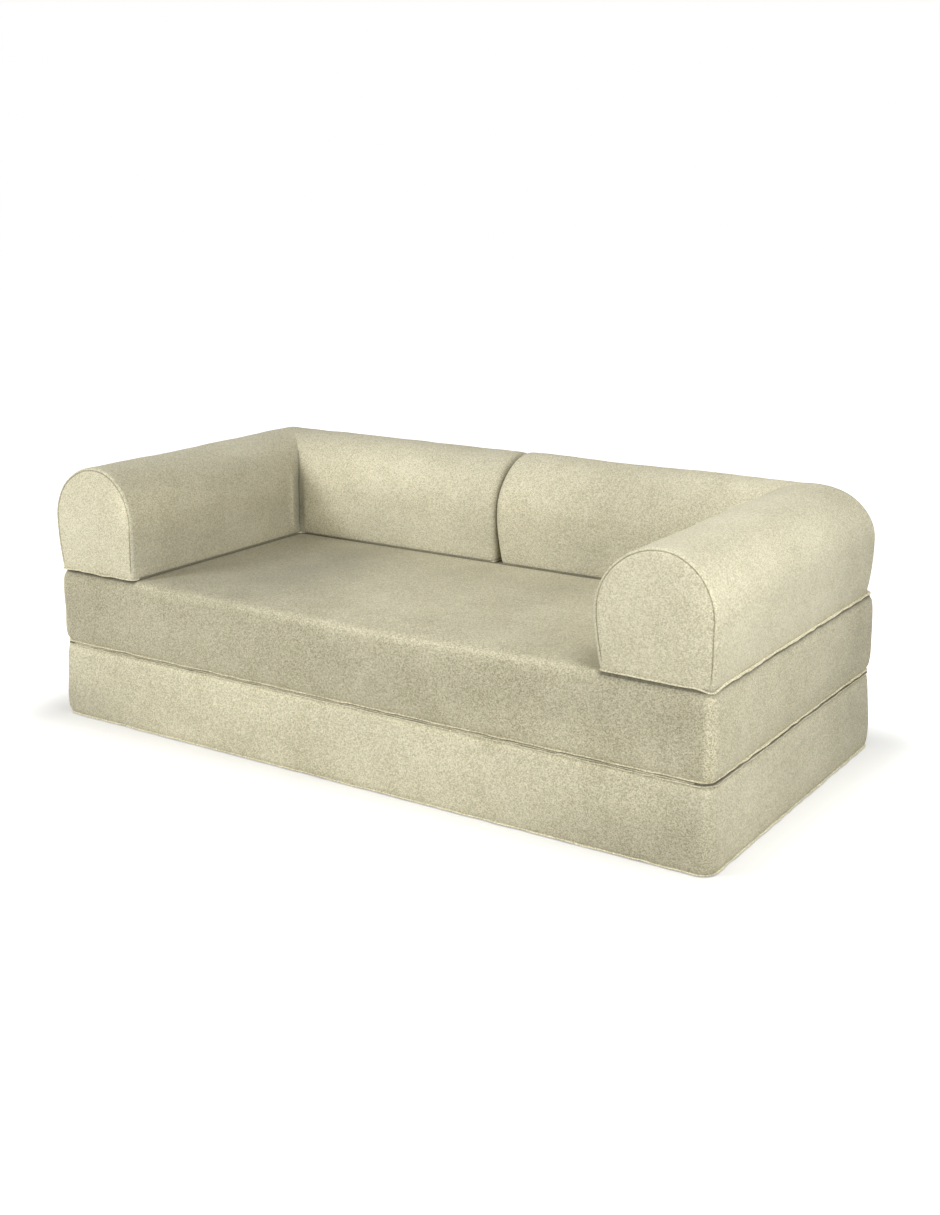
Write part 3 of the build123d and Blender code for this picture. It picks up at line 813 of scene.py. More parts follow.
# What the pressure does to a bolster, on a rough copy held at the seams, the foot and the mitre, and carried over
def bolsterMoves(name, v, ringSets, grid, mitreRow):
    chosen = [[ringSet[i] for i in (1, 3, 5, 7, 9, -1)] for ringSet in ringSets]
    rough, poles, roughMitre, _ = bolsterPoints(v, roughGrid, *chosen)
    rowCount, ringCount, roughCount = len(grid), len(ringSets[0]), len(chosen[0])
    seamRow = roughCount - 2
    held = np.zeros(rough.shape[:2])
    held[:, rough[roughMitre, :, 2] < v["heldUp"]] = 1.0
    held[[seamRow, roughMitre, -1 - seamRow]] = 1.0
    moves = swell(name + "Swell", np.concatenate([rough.reshape(-1, 3), poles]), ringFaces(*rough.shape[:2]),
                  np.concatenate([held.ravel(), [0.0, 0.0]]), v)[:-2].reshape(rough.shape)
    rowMap = np.interp(np.arange(rowCount), [0, ringCount, mitreRow, rowCount - ringCount, rowCount - 1],
                       [0, roughCount, roughMitre, len(rough) - roughCount, len(rough) - 1])
    roughLoop, fineLoop = ringParameter(rough[roughMitre]), ringParameter(grid[mitreRow])
    rowWeights = smoothWeights(np.arange(len(rough)), rowMap)
    loopWeights = smoothWeights(np.concatenate([roughLoop - 1, roughLoop, roughLoop + 1]), fineLoop)
    return np.einsum("ai,bj,ijd->abd", rowWeights, loopWeights, np.concatenate([moves] * 3, axis=1), optimize=True)


# How far the front outer corner of the foot has settled over the mattress's edge, from 0 to 1
def cornerSettle(x, y, v):
    return smoothStep(x, *v["settleX"]) * smoothStep(-y, *v["settleY"])


# A bolster's cover: the carried section, plus the swelling of its cloth, ripples, bellies, the pucker and the slot,
# each added to the points that its own places pick out
def makeBolster(name, side, v):
    ringSets = capRings(v["endRoll"]), capRings(v["centreRoll"])
    grid, poles, mitreRow, across = bolsterPoints(v, fineGrid, *ringSets)
    rowCount, ringCount = len(grid), len(ringSets[0])
    onArm = (np.arange(rowCount) <= mitreRow)[:, None]
    acrossShare = across / v["half"]
    sideShare = np.abs(acrossShare)
    # round the zip the cloth lies flat, so that the pull hangs clear of it
    atZip = smoothStep(acrossShare, *v["flatSide"]) * (1 - smoothStep(grid[..., 2], *v["flatUp"])) * ~onArm
    grid = grid + bolsterMoves(name, v, ringSets, grid, mitreRow) * (1 - atZip)[..., None]

    # soft unevenness of the foam along the legs, none at the foot
    height = grid[..., 2]
    loose = smoothStep(height, *v["unevenUp"]) * (1 - atZip)
    wavy = ripples(grid, v["uneven"], v["seed"])
    grid[..., 0] += np.where(onArm, np.sign(across), 0.0) * wavy * loose * sideShare
    grid[..., 1] += np.where(onArm, 0.0, np.sign(across)) * wavy * loose * sideShare
    grid[..., 2] += wavy * loose * (1 - sideShare**2)

    # the seat sides belly out over the seat
    fromCorner = (v["backMiddle"] + across) - grid[..., 1]
    fromCornerX = (v["armMiddle"] + across) - grid[..., 0]
    rise = np.clip(height / v["bolsterHeight"], 0, 1)
    belly = np.sin(math.pi * rise) ** v["bellyPower"] * smoothStep(-acrossShare, *v["bellySide"])
    grid[..., 0] -= v["armBelly"] * belly * smoothStep(fromCorner, *v["bellyFrom"]) * onArm
    grid[..., 1] -= v["backBelly"] * belly * smoothStep(fromCornerX, *v["bellyFrom"]) * ~onArm

    # a pucker beside the inner crease: the arm's cloth stands up a little before it dives into the corner
    lowest, highest = v["innerUp"]
    inner = (across < 0) & (height < highest) & (height > lowest)
    puckerFrom, wander, turns, reach = v["puckerLine"]
    pucker = bell(fromCorner - puckerFrom - wander * np.sin(height * turns), reach)
    (depth, diveReach), (backDepth, backReach) = v["dive"], v["backDive"]
    rising, falling = v["puckerUp"]
    fade = smoothStep(height, *rising) * (1 - smoothStep(height, *falling))
    lifted = v["pucker"] * fade * (pucker - depth * bell(fromCorner, diveReach))
    grid[..., 0] -= np.where(inner & onArm, lifted, 0)
    grid[..., 1] += np.where(inner & ~onArm, backDepth * v["pucker"] * fade * bell(fromCornerX, backReach), 0)

    # the front outer corner of the foot has settled over the mattress edge
    settle = cornerSettle(grid[..., 0], grid[..., 1], v) * (1 - smoothStep(height, 0, v["settleUp"]))
    grid[..., 2] -= v["settle"] * settle

    # the zip's slot in the rear side
    slotAcross, slotUp = v["slotFrom"]
    rear = (across > slotAcross) & ~onArm & (height > slotUp)
    slot = rear * slotDepth(grid[..., 0], height, zipValues["bolsterMiddle"], zipValues["bolsterHalf"],
                            zipValues["rise"])
    slotBottom = v["backMiddle"] + v["half"] - zipValues["recess"]
    grid[..., 1] = grid[..., 1] * (1 - slot) + slotBottom * slot

    # painted light and shade, with the nap, on the panels: the arm's and the back's seat sides, their tops, and the
    # two caps
    n = v["nap"]
    rows = np.arange(rowCount)
    isCap = (np.minimum(rows, rowCount - 1 - rows) < ringCount - 5)[:, None]
    seatSide, outerSide = smoothStep(-acrossShare, *v["seatSide"]), smoothStep(acrossShare, *v["outerSide"])
    armPanelLight = n["armSeatSide"] * seatSide + n["armTop"] * (1 - seatSide - outerSide) + n["armOuter"] * outerSide
    nap = np.where(isCap, n["cap"], np.where(onArm, armPanelLight, n["backSeatSide"] * seatSide))
    # painted shade spreading out from the inner crease
    fromCrease = np.where(onArm, fromCorner, fromCornerX)
    crease = np.exp(-fromCrease / v["creaseReach"]) * seatSide
    nap = nap + np.where(onArm, n["crease"], n["backCrease"]) * crease * ~isCap
    nap = nap + shadeAndLeanPatches(grid + np.array([0, 0, v["base"]]), v["patches"])
    # painted shade low round the foot, and more of it where the seat sides meet the seat
    for amount, low, high in v["footShades"]:
        nap = nap - amount * (1 - smoothStep(height, low, high))
    amount, low, high = v["seatFoot"]
    nap = nap - amount * seatSide * (1 - smoothStep(height, low, high))
    # a narrow painted shade line in the inner crease
    amount, reach = v["creaseLine"]
    nap = nap - amount * inner * bell(fromCrease, reach)
    # a painted highlight on the pucker and painted shade beside it
    beside, reach = v["besidePucker"]
    band = v["puckerShade"] * (pucker - bell(fromCorner - beside, reach))
    nap = nap + np.where(inner & onArm, v["pucker"] / v["fullPucker"] * fade * band, 0)
    # painted shade along the caps' seams
    for ring, shade in zip(v["seamRings"], v["seamShade"]):
        seam = [ring, rowCount - 1 - ring]
        nap[seam] -= shade * smoothStep(height[seam], *v["capSeamUp"])
    # painted shade where the two halves of the back meet
    fromGap = np.clip(grid[..., 0] - v["centreEnd"] - v["gapFrom"], 0, 1)
    nap = nap - v["gapShade"] * np.exp(-fromGap / v["gapReach"]) * ~onArm
    # painted light low on the arm's seat side
    nap = nap + n["armFoot"] * seatSide * onArm * np.exp(-height / v["armFootReach"]) * ~isCap
    # painted light: an offset against the seat's yellow light, low on the seat sides, less of it on the arm
    cool = np.where(onArm, v["coolArm"], 1.0) * seatSide * (1 - smoothStep(height, *v["coolUp"])) * ~isCap

    points = np.concatenate([grid.reshape(-1, 3), poles]) * [side, 1, 1] + [0, 0, v["base"]]
    nap, cool = np.append(nap, [n["cap"]] * 2), np.append(cool, [0.0] * 2)
    return meshObject(name, points, ringFaces(*grid.shape[:2], side < 0), v["material"], nap=nap, cool=cool)


rightValues = {
    **bolsterValues, "seed": 41, "armBelly": 0.008, "backBelly": 0.007, "gapShade": 0.25, "pucker": 0.0020,
    "settle": 0.006, "seamShade": (0.32, 0.08),
    # nap: painted light and shade on each panel; patches: painted light and shade
    "nap": {"armFoot": 0.0, "armSeatSide": 0.0, "armTop": -0.08, "armOuter": 0.07, "backSeatSide": -0.05,
            "cap": 0.0, "crease": -0.08, "backCrease": -0.08},
    "patches": [((0.95, -0.42, 0.58), (0.06, 0.22, 0.10), 0.14), ((0.93, 0.36, 0.52), (0.08, 0.20, 0.14), -0.09),
                ((0.03, 0.22, 0.52), (0.17, 0.12, 0.14), 0.20), ((0.45, 0.24, 0.64), (0.20, 0.12, 0.09), -0.13)],
}
leftValues = {
    **bolsterValues, "seed": 57, "armBelly": 0.0, "backBelly": 0.007, "centreRoll": 0.016, "gapShade": 0.45,
    "pucker": 0.0085, "settle": 0.0015, "seamShade": (0.45, 0.45),
    # nap: painted light and shade on each panel; patches: painted light and shade
    "nap": {"armFoot": 0.14, "armSeatSide": -0.14, "armTop": 0.13, "armOuter": 0.0, "backSeatSide": 0.12,
            "cap": 0.07, "crease": -0.24, "backCrease": -0.08},
    "patches": [((0.68, -0.42, 0.61), (0.06, 0.22, 0.07), 0.27), ((0.68, 0.07, 0.51), (0.04, 0.12, 0.05), -0.08),
                ((0.44, 0.25, 0.65), (0.22, 0.10, 0.06), 0.20), ((0.05, 0.20, 0.50), (0.10, 0.15, 0.14), -0.13),
                ((0.57, 0.20, 0.47), (0.09, 0.03, 0.08), 0.24)],
}
bolsterSides = (("left", -1, leftValues), ("right", 1, rightValues))
for label, side, values in bolsterSides:
    bolster = makeBolster(label + "BolsterCover", side, values)
    nodes = [f"{label}_{part}" for part in ("arm_cover", "back_cover", "front_cap", "centre_cap")]
    handOver(bolster, nodes, label + "_bolster")
print("bolster covers made")


# Foam inside the covers, cut from flat blocks and a little smaller than the cloth

foamGrid = {
    "heights": [0.003, 0.012, 0.04, 0.08, 0.12, 0.1475], "arcSteps": 20, "footSteps": 10, "step": 0.030,
    "mitre": [0.0, 0.03], "zipEnds": (),
}
foamValues = {
    "corner": 0.030, "draw": 0.002, "edgeBase": 0.003, "step": 0.035, "close": 0.01, "closeReach": 0.02,
    "upStep": 0.020, "closeUp": 0.003, "closeUpReach": 0.006,
    "sawn": [(0.0008, 0.4)], "seed": 7,   # the saw's slight wander down the cut sides: height, wavelength
    # rings of a bolster foam's end: share of full size, inset, how far in
    "rings": [(0.3, 0.012, 0.0), (0.65, 0.012, 0.0), (1, 0.012, 0.0), (1, 0.004, 0.001), (1, 0.001, 0.004),
              (1, 0, 0.008)],
    "inCloth": 0.0125, "footInCloth": 0.003,
    "bolster": {"half": 0.1355, "endRoll": 0.008, "centreRoll": 0.008, "capDome": 0.0},
}
# each block of a mattress: half its width and depth, bottom, top, radius of its top edge
foamBlocks = {
    "lowerFoamCore": (0.930, 0.453, 0.004, 0.1735, 0.004),
    "lowerTopPad": (0.930, 0.453, 0.174, 0.1945, 0.010),
    "upperFoamCore": (0.928, 0.445, 0.2044, 0.3665, 0.004),
    "upperTopPad": (0.924, 0.440, 0.367, 0.3865, 0.016),
}


# A mattress's foam: the soft block, with the saw's ripple on its sides
def makeFoamBlock(name, block, material, f=foamValues):
    v = {**f, **dict(zip(("halfX", "halfY", "base", "top", "edgeTop"), block))}
    closeUp = [v["base"], v["top"]]
    (x, y, z), _, quads = latticeSkin([
        *planLines(v, f["step"], f["close"], f["closeReach"]),
        gridLines(*closeUp, f["upStep"], closeUp, f["closeUp"], f["closeUpReach"])])
    points, out, onSide, _ = softBlock(x, y, z, v)
    points[:, :2] += out * (ripples(points, f["sawn"], f["seed"]) * onSide)[:, None]
    return meshObject(name, points, [quads], material)


# A bolster's foam: the bolster's own form again, set in from the cloth, on a coarse grid
def makeBolsterFoam(name, side, bolster, f=foamValues):
    v = {**bolster, **f["bolster"]}
    grid, poles, *_ = bolsterPoints(v, foamGrid, f["rings"], f["rings"], f["inCloth"])
    points = np.concatenate([grid.reshape(-1, 3), poles]) * [side, 1, 1]
    points[:, 2] += v["base"] + f["footInCloth"] - f["inCloth"]
    return meshObject(name, points, ringFaces(*grid.shape[:2], side < 0), firmFoam)


for name, block in foamBlocks.items():
    level, isCore = name[:5], "Core" in name
    foam = makeFoamBlock(name, block, firmFoam if isCore else plushFoam)
    handOver(foam, [level + ("_foam_core" if isCore else "_top_pad")],
             level + "_mattress")
for label, side, values in bolsterSides:
    foam = makeBolsterFoam(label + "BolsterFoam", side, values)
    handOver(foam, [label + "_arm_foam", label + "_back_foam"], label + "_bolster")
print("foam made")


# Lips: the seam allowances that stand out of the cloth round each mattress and bolster

# A closed outline through corner points, each corner an arc of its radius, at even steps
def roundedOutline(corners, step):
    points = []
    angle = np.linspace(0, math.pi / 2, 9)[:, None]
    for i, (*_, radius) in enumerate(corners):
        before, here, after = (np.array(corners[(i + d) % len(corners)][:2]) for d in (-1, 0, 1))
        fromBefore, toAfter = ((other - here) / np.linalg.norm(other - here) for other in (before, after))
        centre = here + (fromBefore + toAfter) * radius
        start, end = here + fromBefore * radius, here + toAfter * radius
        points.append(centre + (start - centre) * np.cos(angle) + (end - centre) * np.sin(angle))
    ring = np.concatenate([*points, points[0][:1]])
    along = np.concatenate([[0], np.cumsum(np.linalg.norm(np.diff(ring, axis=0), axis=1))])
    places = np.linspace(0, along[-1], int(along[-1] / step) + 1)[:-1]
    return np.stack([np.interp(places, along, ring[:, i]) for i in (0, 1)], axis=-1)


# Shared by all lips, in metres; ripples are (share or height, wavelength)
lipValues = {
    "step": 0.006, "around": 12, "squareness": 0.8, "inside": 0.004, "wave": 0.0008,
    "reachRipples": ((0.16, 0.05), (0.10, 0.22)), "riseRipples": ((0.6, 0.045), (0.5, 0.16)),
    "thickRipples": [(0.12, 0.03)],
    "tuckedReach": 0.0004, "freeReach": (0, 0.002), "freeFrom": (-0.001, 0.004),
    # where on a lip's section its painted highlight and its painted shade lie
    "opened": (-0.9, 0.0), "hidden": (0.55, 0.15, 0.7),
}


# A lip: a flattened oval carried round the seam. It rises and falls, and stands out more or less, by a ripple.
def makeLip(outline, v):
    ahead, behind = np.roll(outline, -1, axis=0), np.roll(outline, 1, axis=0)
    along = (ahead - behind) / np.linalg.norm(ahead - behind, axis=1, keepdims=True)
    out = np.stack([along[:, 1], -along[:, 0]], axis=-1)       # the outline runs anticlockwise
    flat = np.concatenate([outline, np.zeros((len(outline), 1))], axis=1)
    reach = v["reach"] * (1 + ripples(flat, v["reachRipples"], v["seed"]))
    if "tucked" in v:       # on the sitter's side the lip is pushed under
        reach = reach + (v["tuckedReach"] - reach) * v["tucked"](outline[:, 0], outline[:, 1])
    rise = v["wave"] * ripples(flat, v["riseRipples"], v["seed"] + 2)
    thick = v["thick"] / 2 * (1 + ripples(flat, v["thickRipples"], v["seed"] + 4))
    angle = np.linspace(0, 2 * math.pi, v["around"] + 1)[:-1]
    across, up = (np.sign(side) * np.abs(side) ** v["squareness"] for side in (np.cos(angle), np.sin(angle)))
    middle, half = (reach - v["inside"]) / 2, (reach + v["inside"]) / 2
    distance = middle[:, None] + half[:, None] * across
    free = (rise * smoothStep(reach, *v["freeReach"]))[:, None] * smoothStep(distance, *v["freeFrom"])
    height = np.clip(v["level"] + free + thick[:, None] * up, v.get("floor", -1), v.get("ceiling", 9))
    points = np.concatenate([outline[:, None] + out[:, None] * distance[..., None], height[..., None]], axis=-1)
    rows, columns = points.shape[:2]
    index = np.arange(rows * columns).reshape(rows, columns)
    nextRow, nextColumn = np.roll(index, -1, axis=0), np.roll(index, -1, axis=1)
    quads = np.stack([index, nextRow, np.roll(nextRow, -1, axis=1), nextColumn], axis=-1).reshape(-1, 4)
    # painted light on the folded edge: a painted highlight on its lit side, and painted shade on the side that is
    # tucked in
    facing, (amount, low, high) = v["shaded"] * up, v["hidden"]
    nap = v["open"] * smoothStep(facing, *v["opened"]) - amount * smoothStep(-facing, low, high)
    return points.reshape(-1, 3), quads, np.tile(nap, rows)


# The corners of a rectangle, anticlockwise, each with its radius
def rectangleCorners(halfX, halfY, radius):
    return [(halfX, -halfY, radius), (halfX, halfY, radius), (-halfX, halfY, radius), (-halfX, -halfY, radius)]


# open: the strength of a lip's painted highlight; shaded: which side, 1 below and -1 above, takes its painted shade
mattressLips = {
    "lowerTopLip": {
        "seam": rectangleCorners(0.9428, 0.4678, 0.0288), "level": 0.1969, "thick": 0.0042, "reach": 0.0072,
        "seed": 101, "shaded": -1, "open": 0.30, "ceiling": 0.1993, "node": "lower_top_lip",
        "body": "lower_mattress", "material": paleChenille},
    "lowerBottomLip": {
        "seam": rectangleCorners(0.9500, 0.4725, 0.0330), "level": 0.0030, "thick": 0.0044, "reach": 0.0056,
        "seed": 111, "shaded": 1, "open": 0.20, "floor": 0.0002, "node": "lower_bottom_lip",
        "body": "lower_mattress", "material": paleChenille},
    "upperBottomLip": {
        "seam": rectangleCorners(0.9409, 0.4659, 0.0269), "level": 0.2045, "thick": 0.0042, "reach": 0.0082,
        "seed": 121, "shaded": 1, "open": 0.44, "floor": 0.2014, "node": "upper_bottom_lip",
        "body": "upper_mattress", "material": greyedChenille},
}
for name, values in mattressLips.items():
    v = {**lipValues, **values}
    points, quads, nap = makeLip(roundedOutline(v["seam"], v["step"]), v)
    lip = meshObject(name, points, [quads], v["material"], nap=nap)
    handOver(lip, [v["node"]], v["body"])


# Where a bolster's lip is pushed under: along the seat, but not at its front end or in the corner of the seat,
# where the cloth bunches
def lipTucked(x, y, corner=(0.685, 0.210), bunch=0.011):
    bunched = np.exp(-((x - corner[0]) ** 2 + (y - corner[1]) ** 2) / bunch**2)
    return (x < 0.70) * smoothStep(y, -0.462, -0.44) * (y < 0.30) * (1 - bunched)


bolsterLipValues = {
    # open: the strength of the lip's painted highlight; shaded: which side takes its painted shade
    **lipValues, "level": 0.4035, "thick": 0.0046, "reach": 0.0082, "wave": 0.0010, "shaded": 1, "open": 0.16,
    "floor": 0.4009, "tucked": lipTucked, "seeds": {"left": 131, "right": 141},
    "seam": [(0.685, -0.464, 0.006), (0.940, -0.464, 0.007), (0.940, 0.465, 0.028), (0.0122, 0.465, 0.007),
             (0.0122, 0.210, 0.006), (0.685, 0.210, 0.003)],
}
for label, side, bolster in bolsterSides:
    v = {**bolsterLipValues, "seed": bolsterLipValues["seeds"][label]}
    points, quads, nap = makeLip(roundedOutline(v["seam"], v["step"]), v)
    points[:, 2] -= bolster["settle"] * cornerSettle(points[:, 0], points[:, 1], bolster)
    points[:, 0] *= side
    lip = meshObject(label + "BolsterLip", points, [quads[:, ::side]], paleChenille, nap=nap)
    handOver(lip, [label + "_lip"], label + "_bolster")


# Base cloth of a mattress: a thin flat block; of a bolster: a flat strip carried along the arm, round the mitre
# and along the back
baseClothValues = {
    "halfX": 0.9405, "halfY": 0.4655, "corner": 0.031, "draw": 0.0, "edgeTop": 0.0003, "edgeBase": 0.0003,
    "thick": 0.0009, "step": 0.04, "close": 0.01, "closeReach": 0.02, "bases": {"lower": 0.0, "upper": 0.2004},
    "bolsterHalf": 0.128, "above": 0.0008, "beneath": 0.0002, "acrossCount": 9, "rows": 25,
    "frontEnd": -0.4655, "centreEnd": 0.0110,
}


def makeBasePanel(name, base, c=baseClothValues):
    v = {**c, "base": base, "top": base + c["thick"]}
    (x, y, z), _, quads = latticeSkin([*planLines(v, v["step"], v["close"], v["closeReach"]),
                                       np.array([v["base"], v["top"]])])
    return meshObject(name, softBlock(x, y, z, v)[0], [quads], nonSlipCloth)


def makeBolsterBase(name, side, v, c=baseClothValues):
    count = c["acrossCount"]
    across = np.concatenate([np.linspace(-1, 1, count), np.linspace(1, -1, count)]) * c["bolsterHalf"]
    height = np.repeat([v["base"] + c["above"], v["base"] - c["beneath"]], count)
    shares = np.linspace(0, 1, c["rows"])[:, None]
    mitreX, mitreY = v["armMiddle"] + across, v["backMiddle"] + across
    armY = c["frontEnd"] + (mitreY - c["frontEnd"]) * shares
    backX = c["centreEnd"] + (mitreX - c["centreEnd"]) * shares[::-1][1:]
    grid = np.concatenate([np.stack(np.broadcast_arrays(mitreX, armY, height), axis=-1),
                           np.stack(np.broadcast_arrays(backX, mitreY, height), axis=-1)])
    poles = np.array([grid[0].mean(axis=0), grid[-1].mean(axis=0)])
    points = np.concatenate([grid.reshape(-1, 3), poles]) * [side, 1, 1]
    return meshObject(name, points, ringFaces(*grid.shape[:2], side < 0), nonSlipCloth, False)


for label, base in baseClothValues["bases"].items():
    panel = makeBasePanel(label + "BasePanel", base)
    handOver(panel, [label + "_base_panel"], label + "_mattress")
for label, side, values in bolsterSides:
    panel = makeBolsterBase(label + "BolsterBase", side, values)
    handOver(panel, [label + "_arm_base_panel", label + "_back_base_panel"], label + "_bolster")
print("lips and base cloth made")


# A profile carried straight along X, closed at both ends: ring points as (y, z), and the x of each row
def alongWidth(name, places, ringY, ringZ, material):
    grid = np.stack([np.broadcast_to(places[:, None], ringY.shape), ringY, ringZ], axis=-1)
    points = np.concatenate([grid.reshape(-1, 3), [grid[0].mean(axis=0), grid[-1].mean(axis=0)]])
    return meshObject(name, points, ringFaces(*grid.shape[:2]), material)


# The fold's hinge: a strip of the cover's cloth, folded along its middle and lying between the two front lips
hingeValues = {
    "half": 0.910, "rows": 260, "axisY": -0.478, "axisZ": 0.2002, "axisReach": 0.0006,
    "foldY": -0.4733, "innerY": -0.4650, "halfGap": 0.00080, "thick": 0.0005,
    "sway": ((0.0006, 38, 0), (0.0004, 91, 1)),       # of the fold: depth, radians a metre, start
    "leafPoints": 6, "bendPoints": 7,
}


# Its section is two flat leaves joined by a half ellipse, with a thinner one inside, so that the cloth has a wall
def makeHinge(name, v):
    places = np.linspace(-v["half"], v["half"], v["rows"])
    foldOut = v["foldY"] + sway(places, v["sway"])
    count = v["leafPoints"]
    leaf = np.linspace(0, 1, count)
    bend = np.linspace(-math.pi / 2, math.pi / 2, v["bendPoints"] + 2)[1:-1]
    # round the section, from the lower leaf's inner edge over the fold to the upper leaf's inner edge
    depthShare = np.concatenate([leaf, np.ones(len(bend)), leaf[::-1]])
    roundShare = np.concatenate([np.zeros(count), np.cos(bend), np.zeros(count)])
    levelShare = np.concatenate([-np.ones(count), np.sin(bend), np.ones(count)])
    skinY = v["innerY"] + (foldOut[:, None] - v["innerY"]) * depthShare - v["halfGap"] * roundShare
    linerY = skinY + v["thick"] * roundShare
    skinZ, linerZ = (np.broadcast_to(v["axisZ"] + half * levelShare, skinY.shape)
                     for half in (v["halfGap"], v["halfGap"] - v["thick"]))
    return alongWidth(name, places, np.concatenate([skinY[:, ::-1], linerY], axis=1),
                      np.concatenate([skinZ[:, ::-1], linerZ], axis=1), paleChenille)


hinge = makeHinge("foldHinge", hingeValues)
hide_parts("lower_hinge_leaf", "upper_hinge_leaf")
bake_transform(hinge)
print("hinge made")


# Zips: a hemmed slot with woven tape across its bottom, and a coil along the middle of the tape. The hem's lower
# and upper edges lie at low and high along Y.
zipPlaces = {
    "lower": {"middle": 0.0, "half": 0.799, "level": 0.046, "low": 0.4720, "high": 0.4742},
    "upper": {"middle": 0.0, "half": 0.799, "level": 0.2464, "low": 0.4720, "high": 0.4742},
    "left": {"middle": -0.47575, "half": 0.319, "level": 0.4468, "low": 0.4705, "high": 0.4726},
    "right": {"middle": 0.47575, "half": 0.319, "level": 0.4468, "low": 0.4705, "high": 0.4726},
}
tapeValues = {
    "rowStep": 0.008, "back": 466.3, "backUp": (6.0, 0.0, -6.0),
    # the lower half of the section, mm from the zip's middle up, and mm along Y: of the hem, from its edge
    "up": (-13.0, -13.1, -12.5, -11.6, -10.9, -10.6, -10.2, -9.0, -7.4, -7.0, -6.5, -4.5, -1.0),
    "out": (466.3, 0.0, 0.7, 0.4, -1.2, -1.6, 467.9, 467.5, 467.5, 467.85, 467.5, 467.45, 467.45),
    "hem": (0.0108, 0.468),               # the hem is further than this from the middle, and further out
    "puckers": ((0.0004, 310, 0), (0.0003, 123, 2)),      # depth, radians a metre, start
}
coilValues = {
    "web": 0.4675, "underWeb": 0.0003, "pitch": 0.0020, "rowsPerTurn": 4, "acrossPoints": 9, "halfWidth": 0.0030,
    "thick": 0.0023, "endMargin": 0.004, "flatEnds": 0.04, "low": 0.62, "narrow": 0.93, "baseWidth": 0.9,
    "middleTurn": 0.2,                    # share of the rise and fall that shows along the middle
    "stop": 0.003, "stopHeight": 1.30, "stopPower": 0.4, "stopWidth": 1.22,
}


# Tape and hem: the listed section, mirrored above the zip, with the hem's puckers as sine waves along it
def makeZipTape(name, v, t=tapeValues):
    places = np.linspace(v["middle"] - v["half"], v["middle"] + v["half"], int(v["half"] * 2 / t["rowStep"]))
    up, out = np.array(t["up"]), np.array(t["out"])
    z, y = np.concatenate([up, -up[::-1]]) * mm, np.concatenate([out, out[::-1]]) * mm
    edge = np.where(z < 0, v["low"], v["high"])
    y = np.where(np.abs(y) > 0.1, y, edge + y)
    ringZ = np.concatenate([z, np.array(t["backUp"]) * mm]) + v["level"]
    ringY = np.concatenate([y, np.full(len(t["backUp"]), t["back"] * mm)])
    hemFrom, hemOut = t["hem"]
    hem = (np.abs(ringZ - v["level"]) > hemFrom) & (ringY > hemOut)
    ringY = ringY + np.where(hem, sway(places, t["puckers"])[:, None], 0)
    return alongWidth(name, places, ringY, np.broadcast_to(ringZ, ringY.shape), tapeCloth)


# Coil: the section's height is a half oval whose two sides take turns to rise and fall once in each pitch
def makeCoil(name, v, c=coilValues):
    half = v["half"] - c["endMargin"]
    places = np.linspace(v["middle"] - half, v["middle"] + half, int(half * 2 / c["pitch"] * c["rowsPerTurn"]))
    across = np.linspace(-1, 1, c["acrossPoints"])
    phase = 2 * math.pi * places[:, None] / c["pitch"] + math.pi * (across > 0)
    turn = 0.5 + 0.5 * np.sin(phase) * np.where(np.abs(across) < 0.1, c["middleTurn"], 1)
    oval = np.sqrt(np.maximum(1 - across**2, c["flatEnds"]))
    stop = (np.minimum(places - places[0], places[-1] - places) < c["stop"])[:, None]
    height = np.where(stop, c["stopHeight"] * oval ** c["stopPower"], oval * (c["low"] + (1 - c["low"]) * turn))
    width = np.where(stop, c["stopWidth"], c["narrow"] + (1 - c["narrow"]) * turn)
    wide = c["halfWidth"] * width * across
    under = np.full((len(places), 2), c["web"] - c["underWeb"])
    ringY = np.concatenate([c["web"] + c["thick"] * height, under], axis=1)
    ringZ = v["level"] + np.concatenate([wide, wide[:, [-1, 0]] * c["baseWidth"]], axis=1)
    return alongWidth(name, places, ringY, ringZ, coilNylon)


for label, values in zipPlaces.items():
    body = label + ("_mattress" if label in ("lower", "upper") else "_bolster")
    handOver(makeZipTape(label + "ZipTape", values), [label + "_zip_placket"], body)
    handOver(makeCoil(label + "ZipCoil", values), [label + "_zip_chain"], body)
    for node in (label + "_zip_slider", label + "_zip_pull"):
        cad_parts[node].data.materials.clear()
        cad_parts[node].data.materials.append(nickel)
print("zips made")


# Floor and light

stageValues = {
    "floorSize": 14.0, "floorLevel": -0.0006, "floorColour": "#ececea",
    "nearLift": 0.22, "nearEnd": 0.0, "farStart": 0.32,      # the lift near the sofa, and where it starts and ends
    "footprint": (0.95, 0.475, 0.0),
    "worldColour": "#ffffff", "worldStrength": 0.34,
    # each softbox: place, target, width, height, power, spread in degrees
    "softboxes": {
        "keySoftbox": ((-2.6, -4.2, 2.4), (0.1, 0.0, 0.4), 1.5, 1.2, 116, 180),
        "overheadSoftbox": ((1.5, -0.5, 2.3), (0.7, 0.0, 0.5), 1.0, 1.0, 8.2, 100),
        "fillSoftbox": ((3.0, -1.8, 0.9), (0.7, -0.2, 0.3), 1.2, 0.8, 19.2, 180),
    },
}


# True for the camera, and for what shows in metal or through glass
def seenDirectly(tree):
    path = addNode(tree, "LightPath")
    seen = addNode(tree, "Math", {0: (path, "Is Camera Ray"), 1: (path, "Is Glossy Ray")}, operation="ADD",
                   use_clamp=True)
    return addNode(tree, "Math", {0: (seen, 0), 1: (path, "Is Transmission Ray")}, operation="ADD", use_clamp=True)


